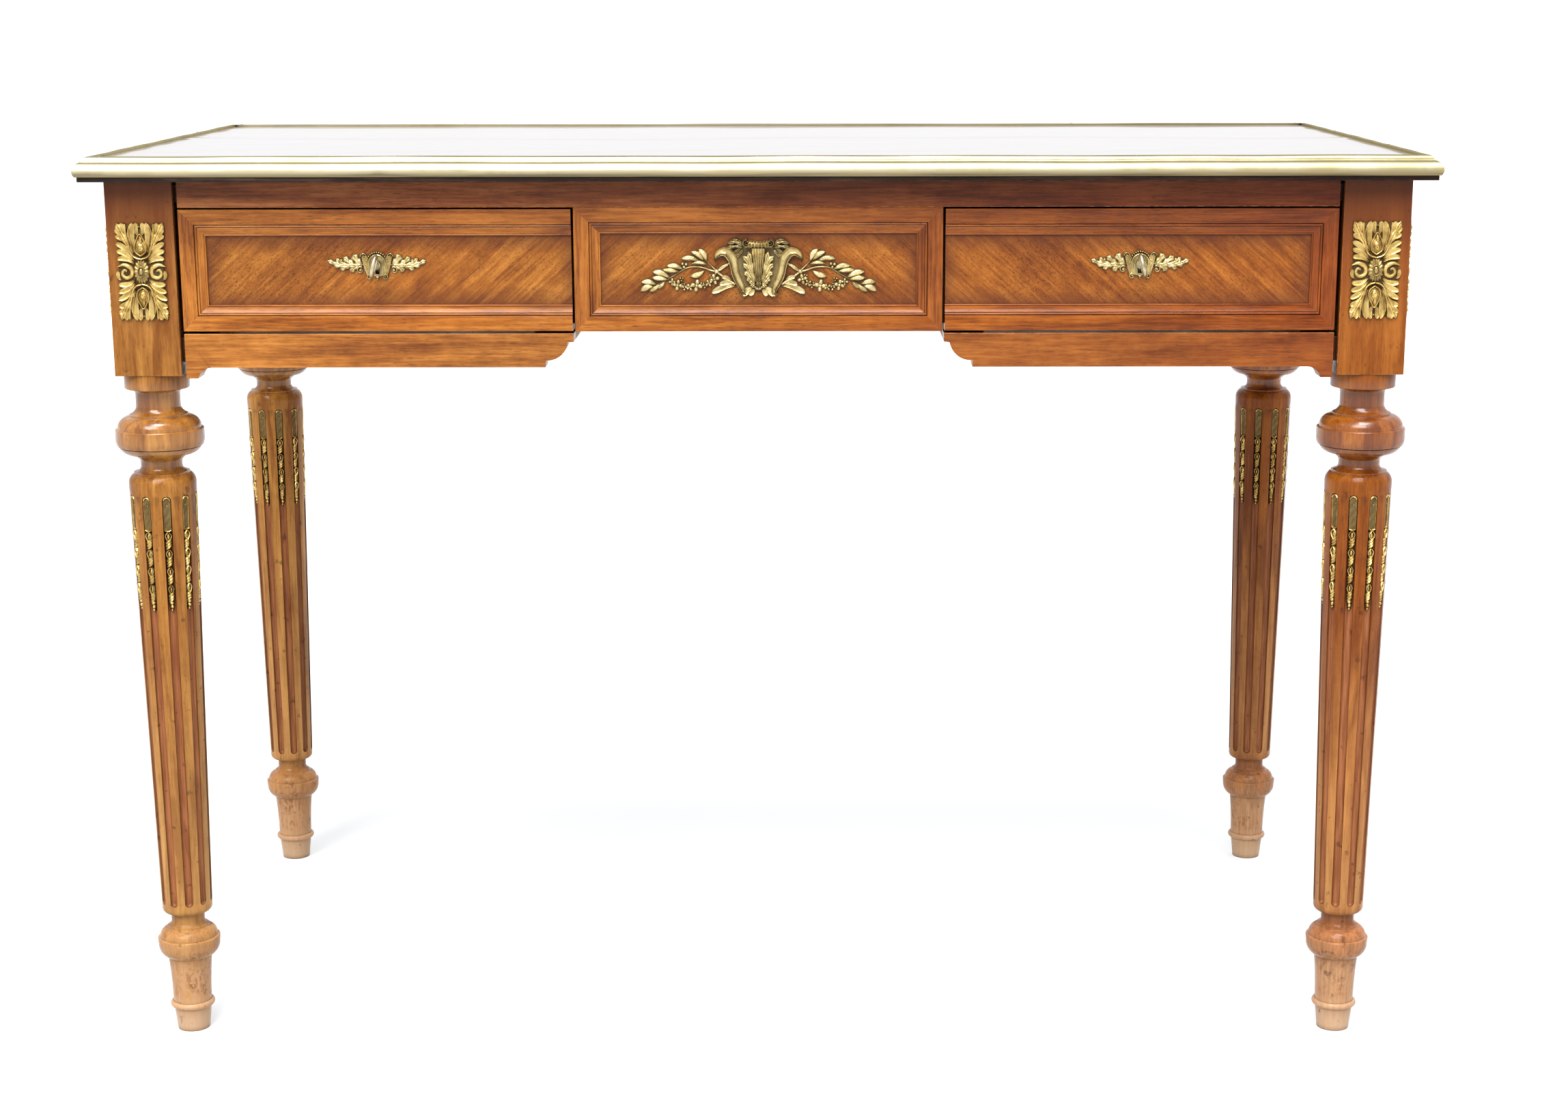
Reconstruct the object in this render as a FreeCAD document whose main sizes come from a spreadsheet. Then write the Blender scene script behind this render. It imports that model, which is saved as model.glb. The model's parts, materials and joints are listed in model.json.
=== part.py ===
import FreeCAD, Part
import math
import os
from types import SimpleNamespace

import Sketcher
from FreeCAD import Placement, Rotation, Vector

# Bureau plat in the Louis XVI manner: a flat writing desk with two frieze drawers on turned, fluted legs.
# Millimetres. Seen from the front, X runs to the right. The front faces -Y and +Z is up.
# The origin is on the floor under the middle of the top.

DIMENSIONS = {
    # Overall size
    "width": 1100, "depth": 573, "height": 760, "overhang": 20, "top_thickness": 20,
    # Carcass
    "leg_block": 55, "block_bottom": 581, "setback": 3.5, "joint_gap": 2.8, "frieze_thickness": 22,
    "rail_height": 22, "frieze_bottom": 587.5, "tenon_thickness": 8, "tenon_length": 16, "tenon_root": 5,
    "fit_gap": 0.1, "kneehole_half": 152, "divider_thickness": 18, "divider_bottom": 608,
    # Drop of the friezes beside each leg, and the step and ovolo at the kneehole end of an apron
    "leg_drop": 9, "drop_flat": 10, "drop_reach": 21, "drop_curve": 11.6,
    "apron_step": 7.3, "apron_ledge": 4.8, "apron_ovolo": 17.6, "apron_return": 23.6, "apron_fillet": 22.4,
    # Drawers and the fixed panel between them
    "drawer_inner": 151.2, "drawer_bottom": 617.5, "drawer_top": 716.6, "drawer_clearance": 0.5,
    "centre_half": 150.5, "centre_bottom": 617, "apron_top": 615.5,
    "frame_thickness": 4.2, "frame_flat": 12.3, "moulding_width": 9.2,
    "side_thickness": 10, "side_bottom": 618.8, "side_top": 705, "inner_side": 172, "outer_side": 463,
    "box_rear": 225, "bottom_panel_low": 623, "bottom_panel": 6, "groove_depth": 4,
    "back_thickness": 10, "back_inset": 5, "back_lower": 6,
    "runner_top": 618.6, "runner_height": 18, "inner_runner": 16, "outer_runner": 27,
    "guide_gap": 1.5, "guide_height": 18, "stop_gap": 1, "stop_height": 20, "kicker_low": 707,
    "kicker_height": 15, "cleat": 12, "cleat_rise": 4,
    # Turned leg from the floor up: radii and heights
    "peg_foot_radius": 13.8, "peg_top_radius": 16.2, "ring_radius": 17, "ring_low": 20.8, "ring_high": 26.4,
    "foot_radius": 16.5, "foot_top_radius": 18.8, "foot_top": 67.2,
    "band_radius": 26.8, "band_low": 78.5, "band_high": 84.6, "cap_radius": 18, "cap_high": 94.2,
    "ankle_radius": 14.2, "ankle_low": 100.6, "ankle_high": 108,
    "column_foot_radius": 21.4, "column_low": 113.5, "column_top_radius": 27.9, "column_high": 484,
    "shoulder": 487, "shoulder_top_radius": 24.4, "shoulder_high": 495.8,
    "waist_radius": 17.2, "waist_low": 502.6, "waist_high": 505.4,
    "bun_foot_radius": 22, "bun_low": 512, "cup_radius": 34, "cup_high": 518.8, "bun_radius": 36.6,
    "bun_band_low": 525, "bun_band_high": 533.4, "bun_top_radius": 25.4, "bun_high": 544.8,
    "neck_radius": 18.4, "neck_low": 553, "neck_high": 563.2, "collar_radius": 26.8, "collar_low": 568.8,
    # Flutes and their brass inserts
    "flute_count": 10, "flute_low": 117, "flute_high": 480, "flute_foot_radius": 3.5, "flute_top_radius": 3.8,
    "insert_foot": 381, "insert_proud": 0.7, "insert_gap": 0.05, "insert_taper": 0.15,
    # Top, brass edge and leather
    "edge_width": 14.5, "edge_height": 16, "edge_ovolo": 11.6, "edge_lip": 4.3, "edge_round": 2.9,
    "board_inset": 3, "leather_thickness": 1.2, "lip_proud": 1.8,
    # Locks and keys
    "lock_width": 56, "lock_bottom": 659.5, "lock_depth": 10, "lock_wall": 1.5, "key_height": 672,
    "bolt_width": 18, "bolt_thickness": 5, "bolt_low": 676.6, "bolt_slack": 0.5, "bolt_throw": 6.5,
    "shaft_radius": 2.5, "keyhole_radius": 2.9, "key_slot": 3, "bit_radius": 10, "bit_thickness": 2.4,
    "bow_width": 19.5, "bow_depth": 16, "bow_wire": 1.7, "bow_reach": 14.5, "key_tilt": 15,
    "tip_gap": 0.6, "bit_length": 5.4, "key_collar_rim": 1.3, "key_collar_length": 2, "key_collar_gap": 3,
    # Gilt mounts
    "plaque_width": 40.5, "plaque_height": 80.5, "plaque_plate": 1.2, "plaque_middle": 667,
    "escutcheon_half": 40, "escutcheon_thickness": 2.2,
    "mount_half": 96.5, "mount_thickness": 3, "mount_middle": 669,
}

doc = FreeCAD.newDocument("bureau_plat")
sheet = doc.addObject("Spreadsheet::Sheet", "Dims")
for row, (alias, amount) in enumerate(DIMENSIONS.items(), start=1):
    sheet.set(f"A{row}", alias)
    sheet.set(f"B{row}", str(amount))
    sheet.setAlias(f"B{row}", alias)
doc.recompute()


class Size:
    """A length in millimetres that remembers the sheet formula it comes from."""

    def __init__(self, number, formula):
        self.number = number
        self.formula = formula

    def joined(self, sign, other, number):
        return Size(number, f"({self.formula} {sign} {formula_of(other)})")

    def __add__(self, other):
        return self.joined("+", other, self.number + number_of(other))

    def __sub__(self, other):
        return self.joined("-", other, self.number - number_of(other))

    def __mul__(self, other):
        return self.joined("*", other, self.number * number_of(other))

    def __truediv__(self, other):
        return self.joined("/", other, self.number / number_of(other))

    def __neg__(self):
        return Size(-self.number, f"(0 - {self.formula})")

    def __rsub__(self, other):
        return -self + other

    __radd__ = __add__
    __rmul__ = __mul__


def number_of(size):
    return size.number if isinstance(size, Size) else float(size)


def formula_of(size):
    return size.formula if isinstance(size, Size) else f"{size:.6g}"


def bind(item, path, size):
    item.setExpression(path, formula_of(size))


def vector(x, y, z):
    return Vector(number_of(x), number_of(y), number_of(z))


d = SimpleNamespace(**{alias: Size(float(sheet.get(alias)), f"Dims.{alias}") for alias in DIMENSIONS})

# Places that several pieces share
underside = d.height - d.top_thickness
block_face = d.depth / 2 - d.overhang
block_side = d.width / 2 - d.overhang
leg_x = block_side - d.leg_block / 2
leg_y = block_face - d.leg_block / 2
block_inner = block_side - d.leg_block
face = block_face - d.setback
face_back = face - d.frieze_thickness
shoulder_x = block_inner - d.joint_gap
shoulder_y = block_face - d.leg_block - d.joint_gap
rail_bottom = underside - d.rail_height
front_back = face_back + d.drawer_clearance
drawer_middle = (d.drawer_inner + shoulder_x) / 2
tenon_inset = (d.frieze_thickness - d.tenon_thickness) / 2
tenon_line = d.leg_block / 2 - d.setback - d.frieze_thickness / 2
frame_width = d.frame_flat + d.moulding_width
SIDES = {"left": -1, "right": 1}
ENDS = {"front": -1, "rear": 1}

nodes = {}


def node(name, item):
    """Keeps an object as the finished piece of that name."""
    item.Label = name
    nodes[name] = item
    return item


def facing(turn):
    """The turn that stands a flat drawing upright: 0 faces the front, 90 the right, 180 the back."""
    return Rotation(Vector(0, 0, 1), turn) * Rotation(Vector(1, 0, 0), 90)


def plane(body, role):
    return next(feature for feature in body.Origin.OriginFeatures if feature.Role == role)


def attach(sketch, body, role, offset):
    sketch.AttachmentSupport = [(plane(body, role), "")]
    sketch.MapMode = "FlatFace"
    bind(sketch, "AttachmentOffset.Base.z", offset)


def arc_between(start, end, radius):
    """The lesser arc from start to end, turning left for a radius above zero and right below it."""
    chord = end - start
    rise = math.sqrt(radius * radius - chord.Length * chord.Length / 4)
    left = Vector(-chord.y, chord.x, 0).normalize()
    centre = (start + end) / 2 + left * math.copysign(rise, radius)
    first, last = (start, end) if radius > 0 else (end, start)
    angles = [math.atan2(point.y - centre.y, point.x - centre.x) for point in (first, last)]
    return Part.ArcOfCircle(Part.Circle(centre, Vector(0, 0, 1), abs(radius)), *angles)


def draw(body, name, role, outlines, offset=0):
    """Sketches closed outlines of corners (u, v) or (u, v, radius of the arc that leads there).

    Each corner is held by its two distances from the origin and each arc by its radius.
    """
    sketch = body.newObject("Sketcher::SketchObject", name)
    attach(sketch, body, role, offset)
    for outline in outlines:
        corners = [vector(corner[0], corner[1], 0) for corner in outline]
        radii = [number_of(corner[2]) if len(corner) == 3 else 0 for corner in outline]
        first = sketch.GeometryCount
        lines = []
        ends = []
        for index, corner in enumerate(corners):
            previous = corners[index - 1]
            if radii[index]:
                lines.append(arc_between(previous, corner, radii[index]))
            else:
                lines.append(Part.LineSegment(previous, corner))
            ends.append((1, 2) if radii[index] >= 0 else (2, 1))
        sketch.addGeometry(lines, False)
        constraints = []
        formulas = []
        for index, corner in enumerate(corners):
            here = first + index
            after = (index + 1) % len(corners)
            end = ends[index][1]
            constraints.append(Sketcher.Constraint("Coincident", here, end, first + after, ends[after][0]))
            formulas.append(None)
            for kind, amount, size in (("DistanceX", corner.x, outline[index][0]),
                                       ("DistanceY", corner.y, outline[index][1])):
                constraints.append(Sketcher.Constraint(kind, -1, 1, here, end, amount))
                formulas.append(size)
            if radii[index]:
                constraints.append(Sketcher.Constraint("Radius", here, abs(radii[index])))
                formulas.append(None)
        start = sketch.ConstraintCount
        sketch.addConstraint(constraints)
        for index, size in enumerate(formulas):
            if isinstance(size, Size):
                bind(sketch, f"Constraints[{start + index}]", size)
    return sketch


def rectangle(low_u, low_v, high_u, high_v):
    return [(low_u, low_v), (high_u, low_v), (high_u, high_v), (low_u, high_v)]


def mirrored(outline):
    return [(-corner[0], corner[1]) + tuple(-radius for radius in corner[2:]) for corner in outline]


def pad(body, sketch, length):
    feature = body.newObject("PartDesign::Pad", sketch.Name + "_pad")
    feature.Profile = sketch
    bind(feature, "Length", length)
    return feature


def pocket(body, sketch, depth, forward=False):
    """Cuts against the sketch's normal, or along it where forward is set."""
    feature = body.newObject("PartDesign::Pocket", sketch.Name + "_pocket")
    feature.Profile = sketch
    feature.Reversed = forward
    bind(feature, "Length", depth)
    return feature


def board(name, outlines, thickness, place=Placement()):
    """A flat piece drawn in its own XY plane, thickness upwards, and then put in its place."""
    body = doc.addObject("PartDesign::Body", name)
    pad(body, draw(body, name + "_outline", "XY_Plane", outlines), thickness)
    body.Placement = place
    return body


def box(name, low, high):
    block = doc.addObject("Part::Box", name)
    for side, axis, start, end in zip(("Length", "Width", "Height"), "xyz", low, high):
        bind(block, side, end - start)
        bind(block, f"Placement.Base.{axis}", start)
    return block


def across(side, near, far):
    """The two X limits of a piece between near and far on one side of the middle."""
    return (near, far) if side > 0 else (-far, -near)


def side_box(name, side, x_span, y_span, z_span):
    low_x, high_x = across(side, *x_span)
    return box(name, (low_x, y_span[0], z_span[0]), (high_x, y_span[1], z_span[1]))


def cylinder(name, radius, length, place):
    rod = doc.addObject("Part::Cylinder", name)
    bind(rod, "Radius", radius)
    bind(rod, "Height", length)
    rod.Placement = place
    return rod


def cut(name, base, *tools):
    for index, tool in enumerate(tools, start=1):
        result = doc.addObject("Part::Cut", f"{name}_cut_{index}")
        result.Base = base
        result.Tool = tool
        base = result
    return base


def fuse(name, *pieces):
    result = doc.addObject("Part::MultiFuse", name + "_fused")
    result.Shapes = list(pieces)
    return result


def group(name, pieces):
    result = doc.addObject("Part::Compound", name)
    result.Links = list(pieces)
    return result


# Legs

def leg_profile():
    """Half section of the turning from the floor up: radius, height and, for a curve, its radius."""
    ease, quirk, chamfer, fillet, set_back, flare = 0.4, 0.6, 0.8, 1.2, 2.1, 3.1
    foot = [
        (0, 0), (d.peg_foot_radius, 0), (d.peg_top_radius, d.ring_low), (d.ring_radius, d.ring_low),
        (d.ring_radius, d.ring_high, 2.9), (d.foot_radius, d.ring_high),
        (d.foot_top_radius, d.foot_top, -400),
    ]
    band = [
        (d.foot_top_radius + chamfer, d.foot_top + ease), (d.band_radius - ease, d.band_low, 13),
        (d.band_radius, d.band_high), (d.band_radius - chamfer, d.band_high + chamfer),
        (d.band_radius - set_back, d.band_high + fillet),
        (d.band_radius - set_back, d.band_high + set_back), (d.cap_radius, d.cap_high, 8),
    ]
    ankle = [
        (d.cap_radius - quirk, d.cap_high + quirk), (d.cap_radius - quirk, d.cap_high + quirk + fillet),
        (d.ankle_radius, d.ankle_low, -5), (d.ankle_radius, d.ankle_high),
    ]
    column = [
        (d.column_foot_radius - set_back, d.ankle_high + chamfer), (d.column_foot_radius, d.column_low, 5),
        (d.column_top_radius, d.column_high), (d.column_top_radius, d.shoulder),
        (d.shoulder_top_radius, d.shoulder_high, 10),
    ]
    waist = [
        (d.shoulder_top_radius - fillet, d.shoulder_high + quirk),
        (d.shoulder_top_radius - fillet, d.shoulder_high + quirk + fillet),
        (d.waist_radius, d.waist_low, -5.4), (d.waist_radius, d.waist_high),
        (d.bun_foot_radius - set_back, d.bun_low - set_back, -5),
    ]
    bun = [
        (d.bun_foot_radius, d.bun_low), (d.cup_radius, d.cup_high, 12.5),
        (d.cup_radius - quirk, d.cup_high + ease), (d.cup_radius + fillet, d.cup_high + chamfer),
        (d.bun_radius, d.bun_band_low, 12), (d.bun_radius, d.bun_band_high),
        (d.bun_radius - chamfer, d.bun_band_high + chamfer),
        (d.bun_radius - set_back, d.bun_band_high + fillet),
        (d.bun_radius - set_back, d.bun_band_high + flare), (d.bun_top_radius, d.bun_high, 11),
    ]
    neck = [
        (d.bun_top_radius - fillet, d.bun_high + ease),
        (d.bun_top_radius - fillet, d.bun_high + ease + fillet),
        (d.neck_radius, d.neck_low, -8), (d.neck_radius, d.neck_high),
    ]
    collar = [
        (d.neck_radius + flare, d.collar_low - fillet, -5),
        (d.collar_radius - chamfer, d.collar_low - chamfer), (d.collar_radius, d.collar_low),
        (d.collar_radius, d.block_bottom + 1), (0, d.block_bottom + 1),
    ]
    return foot + band + ankle + column + waist + bun + neck + collar


def column_radius(height):
    """Radius of the tapered column at a height."""
    rise = (height - d.column_low) / (d.column_high - d.column_low)
    return d.column_foot_radius + (d.column_top_radius - d.column_foot_radius) * rise


def flute_sketch(body, name, foot, top, foot_radius, top_radius):
    """Half of a round-ended, tapered rod whose axis is a line on the column's surface."""
    sketch = body.newObject("Sketcher::SketchObject", name)
    attach(sketch, body, "XZ_Plane", 0)
    ends = [(column_radius(foot), foot), (column_radius(top), top)]
    points = [vector(u, v, 0) for u, v in ends]
    low, high = points
    along = (high - low).normalize()
    out = Vector(along.y, -along.x, 0)
    low_r, high_r = number_of(foot_radius), number_of(top_radius)
    tip, crown = low - along * low_r, high + along * high_r
    axis, foot_arc, edge, top_arc, closing = range(5)
    sketch.addGeometry(Part.LineSegment(low, high), True)
    sketch.addGeometry([
        Part.ArcOfCircle(Part.Circle(low, Vector(0, 0, 1), low_r),
                         math.atan2(-along.y, -along.x), math.atan2(out.y, out.x)),
        Part.LineSegment(low + out * low_r, high + out * high_r),
        Part.ArcOfCircle(Part.Circle(high, Vector(0, 0, 1), high_r),
                         math.atan2(out.y, out.x), math.atan2(along.y, along.x)),
        Part.LineSegment(crown, tip),
    ], False)
    held = []
    for point, (u, v) in zip((1, 2), ends):
        for kind, size in (("DistanceX", u), ("DistanceY", v)):
            held.append((Sketcher.Constraint(kind, -1, 1, axis, point, number_of(size)), size))
    held.append((Sketcher.Constraint("Radius", foot_arc, low_r), foot_radius))
    held.append((Sketcher.Constraint("Radius", top_arc, high_r), top_radius))
    for index, (constraint, size) in enumerate(held):
        sketch.addConstraint(constraint)
        bind(sketch, f"Constraints[{index}]", size)
    sketch.addConstraint([
        Sketcher.Constraint("Coincident", foot_arc, 3, axis, 1),
        Sketcher.Constraint("Coincident", top_arc, 3, axis, 2),
        Sketcher.Constraint("Tangent", foot_arc, 2, edge, 1),
        Sketcher.Constraint("Tangent", edge, 2, top_arc, 1),
        Sketcher.Constraint("Coincident", top_arc, 2, closing, 1),
        Sketcher.Constraint("Coincident", closing, 2, foot_arc, 1),
        Sketcher.Constraint("PointOnObject", closing, 1, axis),
        Sketcher.Constraint("PointOnObject", closing, 2, axis),
    ])
    return sketch


def spun(body, kind, sketch, axis):
    feature = body.newObject("PartDesign::" + kind, f"{sketch.Name}_{kind.lower()}")
    feature.Profile = sketch
    feature.ReferenceAxis = (sketch, [axis])
    feature.Angle = 360
    return feature


def cut_mortise(body, name, role, low, high, middle, inner_face, toward):
    """Cuts one mortise into the block from its inner face; toward is the way it goes in along the axis."""
    half = d.tenon_thickness / 2 + d.fit_gap
    outline = rectangle(middle - half, low - d.fit_gap, middle + half, high + d.fit_gap)
    normal = 1 if role == "YZ_Plane" else -1
    sketch = draw(body, name, role, [outline], inner_face * normal)
    pocket(body, sketch, d.tenon_length + d.fit_gap, forward=toward * normal > 0)


TENONS = {
    "rail": (rail_bottom + 4, underside - 4),
    "apron": (d.frieze_bottom + 4, d.apron_top - 4),
    "frieze": (d.frieze_bottom + 12, underside - 15),
}


def leg(end, side):
    """A leg turned from one square: block with mortises, turning, and flutes round the column."""
    name = f"leg_{end}_{side}"
    sign_x, sign_y = SIDES[side], ENDS[end]
    body = doc.addObject("PartDesign::Body", name)
    spun(body, "Revolution", draw(body, name + "_turning", "XZ_Plane", [leg_profile()]), "V_Axis")
    half = d.leg_block / 2
    block = draw(body, name + "_block", "XY_Plane", [rectangle(-half, -half, half, half)], d.block_bottom)
    pad(body, block, underside - d.block_bottom)
    for joint in ("rail", "apron") if end == "front" else ("frieze",):
        cut_mortise(body, f"{name}_{joint}_mortise", "YZ_Plane", *TENONS[joint],
                    tenon_line * sign_y, half * -sign_x, sign_x)
    cut_mortise(body, name + "_side_mortise", "XZ_Plane", *TENONS["frieze"],
                tenon_line * sign_x, half * -sign_y, sign_y)
    flute = flute_sketch(body, name + "_flute", d.flute_low + d.flute_foot_radius,
                         d.flute_high - d.flute_top_radius, d.flute_foot_radius, d.flute_top_radius)
    groove = spun(body, "Groove", flute, "Axis0")
    around = body.newObject("PartDesign::PolarPattern", name + "_flutes")
    around.Originals = [groove]
    around.Axis = (plane(body, "Z_Axis"), [""])
    around.Angle = 360
    bind(around, "Occurrences", d.flute_count)
    body.Tip = around
    body.Placement = Placement(vector(leg_x * sign_x, leg_y * sign_y, 0), Rotation())
    return node(name, body)


def flute_insert():
    """The brass rod that fills the upper part of a flute, dressed off just proud of the column."""
    rod = doc.addObject("PartDesign::Body", "flute_insert_rod")
    top = d.flute_high - d.flute_top_radius
    foot = d.insert_foot + d.flute_foot_radius
    radius = d.flute_top_radius - d.insert_gap
    outline = flute_sketch(rod, "flute_insert", foot, top, radius - d.insert_taper, radius)
    spun(rod, "Revolution", outline, "Axis0")
    cone = doc.addObject("Part::Cone", "flute_insert_limit")
    bind(cone, "Radius1", column_radius(d.column_low) + d.insert_proud)
    bind(cone, "Radius2", column_radius(d.column_high) + d.insert_proud)
    bind(cone, "Height", d.column_high - d.column_low)
    bind(cone, "Placement.Base.z", d.column_low)
    dressed = doc.addObject("Part::Common", "flute_insert_dressed")
    dressed.Base = rod
    dressed.Tool = cone
    return dressed


def inserts_of_leg(end, side, pattern):
    """The ring of flute inserts round one leg."""
    pitch = 360 / number_of(d.flute_count)
    ring = []
    for index in range(int(number_of(d.flute_count))):
        rod = pattern.Shape.copy()
        rod.rotate(Vector(0, 0, 0), Vector(0, 0, 1), pitch * index)
        ring.append(rod)
    inserts = doc.addObject("Part::Feature", f"chandelles_{end}_{side}")
    inserts.Shape = Part.makeCompound(ring)
    inserts.Placement = Placement(vector(leg_x * SIDES[side], leg_y * ENDS[end], 0), Rotation())
    return node(inserts.Name, inserts)


# Rails, friezes and aprons

def add_tenons(body, name, spans):
    """Tenons in the middle of a board's thickness; each span is an outline that overlaps the board's end."""
    sketch = draw(body, name + "_tenons", "XY_Plane", spans, tenon_inset)
    pad(body, sketch, d.tenon_thickness)


def tenon_outline(shoulder, low, high):
    """A tenon beyond the shoulder at +u, reaching across the open joint into the block."""
    return rectangle(shoulder - d.tenon_root, low, shoulder + d.joint_gap + d.tenon_length, high)


def front_top_rail():
    """The rail above the drawers, with a mortise over each lock for its bolt."""
    name = "front_top_rail"
    outline = rectangle(-shoulder_x, rail_bottom, shoulder_x, underside)
    rail = board(name, [outline], d.frieze_thickness, Placement(vector(0, -face_back, 0), facing(0)))
    tenon = tenon_outline(shoulder_x, *TENONS["rail"])
    add_tenons(rail, name, [tenon, mirrored(tenon)])
    room = 1.5
    mortises = [
        side_box(f"bolt_mortise_{side}", sign,
                 (drawer_middle - d.bolt_width / 2 - room, drawer_middle + d.bolt_width / 2 + room),
                 (-bolt_line - d.bolt_thickness - room, -bolt_line + room),
                 (rail_bottom - 1, rail_bottom + d.bolt_throw + 3))
        for side, sign in SIDES.items()
    ]
    return node(name, cut(name, rail, *mortises))


def apron_outline():
    """From the kneehole end at u = 0: a step, an ovolo and a fillet, then a drop beside the leg."""
    length = shoulder_x - d.kneehole_half
    foot = d.frieze_bottom
    top = d.apron_top
    return [
        (0, top), (0, top - d.apron_step), (d.apron_ledge, top - d.apron_step),
        (d.apron_return, top - d.apron_fillet, d.apron_ovolo), (d.apron_return, foot),
        (length - d.drop_reach, foot), (length - d.drop_flat, foot - d.leg_drop, -d.drop_curve),
        (length, foot - d.leg_drop), (length, top),
    ]


def apron(side):
    name = f"apron_{side}"
    sign = SIDES[side]
    outline = apron_outline()
    tenon = tenon_outline(shoulder_x - d.kneehole_half, *TENONS["apron"])
    if sign < 0:
        outline, tenon = mirrored(outline), mirrored(tenon)
    place = Placement(vector(d.kneehole_half * sign, -face_back, 0), facing(0))
    body = board(name, [outline], d.frieze_thickness, place)
    add_tenons(body, name, [tenon])
    return node(name, body)


def frieze(name, half, turn, distance, panels):
    """A frieze board with a drop beside each leg, tenons, and a sunk place for each moulded frame."""
    foot = d.frieze_bottom
    drop = foot - d.leg_drop
    outline = [
        (-half, underside), (-half, drop), (-half + d.drop_flat, drop),
        (-half + d.drop_reach, foot, -d.drop_curve), (half - d.drop_reach, foot),
        (half - d.drop_flat, drop, -d.drop_curve), (half, drop), (half, underside),
    ]
    rotation = facing(turn)
    away = rotation.multVec(Vector(0, 0, 1))
    body = board(name, [outline], d.frieze_thickness, Placement(away * number_of(distance), rotation))
    tenon = tenon_outline(half, *TENONS["frieze"])
    add_tenons(body, name, [tenon, mirrored(tenon)])
    sunk = [rectangle(low, d.drawer_bottom, high, d.drawer_top) for low, high in panels]
    pocket(body, draw(body, name + "_sunk", "XY_Plane", sunk, d.frieze_thickness), d.frame_thickness)
    return node(name, body)


# Moulded frames and the brass edge, cut to length and mitred

def frame_section():
    """Frame moulding from its outer edge inwards: flat, fillet, sunk fillet, hollow and lip."""
    flat = d.frame_flat
    top = d.frame_thickness
    return [
        (0, 0), (frame_width, 0), (frame_width, 1), (frame_width - 0.8, 1), (flat + 2.6, top - 1.5, 9),
        (flat + 2.6, top - 0.8), (flat + 0.5, top - 0.8), (flat + 0.5, top - 0.4), (flat, top), (0, top),
    ]


def edge_section():
    """Brass edge from its outer edge inwards: an ovolo with a short return, a narrow bead and a round lip."""
    inner = d.edge_width
    top = d.edge_height
    lip = inner - d.edge_lip
    quirk = d.edge_ovolo - 0.6
    bead = d.edge_ovolo + 1.2
    return [
        (1.7, 0, 7.1), (inner, 0), (inner, top), (lip, top), (lip - d.edge_round, top - d.edge_round, 3.3),
        (7, bead - 0.5), (6.6, bead), (6.2, bead - 0.1), (5.9, quirk), (5.5, quirk), (5.2, d.edge_ovolo),
        (0, 4.6, 7.4),
    ]


def mitred_length(name, section, length, height, width, mitre_start, mitre_end):
    """A moulding along +X with its outer edge on the X axis, mitred inwards at the ends that ask for it."""
    body = doc.addObject("PartDesign::Body", name)
    pad(body, draw(body, name + "_section", "YZ_Plane", [section]), length)
    past = width + 1
    corners = []
    if mitre_start:
        corners.append([(-1, -1), (past, past), (-1, past)])
    if mitre_end:
        corners.append([(length + 1, -1), (length + 1, past), (length - past, past)])
    if corners:
        mitres = draw(body, name + "_mitres", "XY_Plane", corners, height + 1)
        pocket(body, mitres, height + 2)
    return body


def moulded_frame(name, low, high, bottom, top, absent=None):
    """Mitred lengths round the inside of a rectangle, in the drawing plane; one side may be absent."""
    wide, tall = high - low, top - bottom
    starts = {
        "bottom": (low, bottom, wide), "right": (high, bottom, tall),
        "top": (high, top, wide), "left": (low, top, tall),
    }
    order = list(starts)
    lengths = []
    for index, place in enumerate(order):
        if place == absent:
            continue
        corner_u, corner_v, length = starts[place]
        piece = mitred_length(f"{name}_{place}", frame_section(), length, d.frame_thickness, frame_width,
                              order[index - 1] != absent, order[(index + 1) % 4] != absent)
        piece.Placement = Placement(vector(corner_u, corner_v, 0), Rotation(Vector(0, 0, 1), 90 * index))
        lengths.append(piece)
    return lengths


def frame_node(name, lengths, turn, distance):
    frame = group(name, lengths)
    rotation = facing(turn)
    away = rotation.multVec(Vector(0, 0, 1)) * number_of(distance - d.frame_thickness)
    frame.Placement = Placement(away, rotation)
    return node(name, frame)


def brass_edges():
    """Four mitred lengths round the top, on the shelf of the top board."""
    half_x, half_y = d.width / 2, d.depth / 2
    starts = {
        "front": (-half_x, -half_y, d.width), "right": (half_x, -half_y, d.depth),
        "rear": (half_x, half_y, d.width), "left": (-half_x, half_y, d.depth),
    }
    for index, (place, (x, y, length)) in enumerate(starts.items()):
        name = f"brass_edge_{place}"
        piece = mitred_length(name, edge_section(), length, d.edge_height, d.edge_width, True, True)
        shelf = vector(x, y, d.height - d.edge_height)
        piece.Placement = Placement(shelf, Rotation(Vector(0, 0, 1), 90 * index))
        node(name, piece)


# Top

def top_board():
    """A solid top rebated all round so that the brass edge sits on its lower part."""
    name = "top_board"
    half_x, half_y = d.width / 2, d.depth / 2
    body = doc.addObject("PartDesign::Body", name)
    lower = rectangle(-half_x + d.board_inset, -half_y + d.board_inset,
                      half_x - d.board_inset, half_y - d.board_inset)
    upper = rectangle(-half_x + d.edge_width, -half_y + d.edge_width,
                      half_x - d.edge_width, half_y - d.edge_width)
    shelf = d.height - d.edge_height
    pad(body, draw(body, name + "_lower", "XY_Plane", [lower], underside), shelf - underside)
    board_top = d.height - d.lip_proud - d.leather_thickness
    pad(body, draw(body, name + "_upper", "XY_Plane", [upper], shelf), board_top - shelf)
    node(name, body)
    on_board = Placement(vector(0, 0, board_top), Rotation())
    leather = board("writing_leather", [upper], d.leather_thickness, on_board)
    node("writing_leather", leather)


# Inside the carcass

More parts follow.
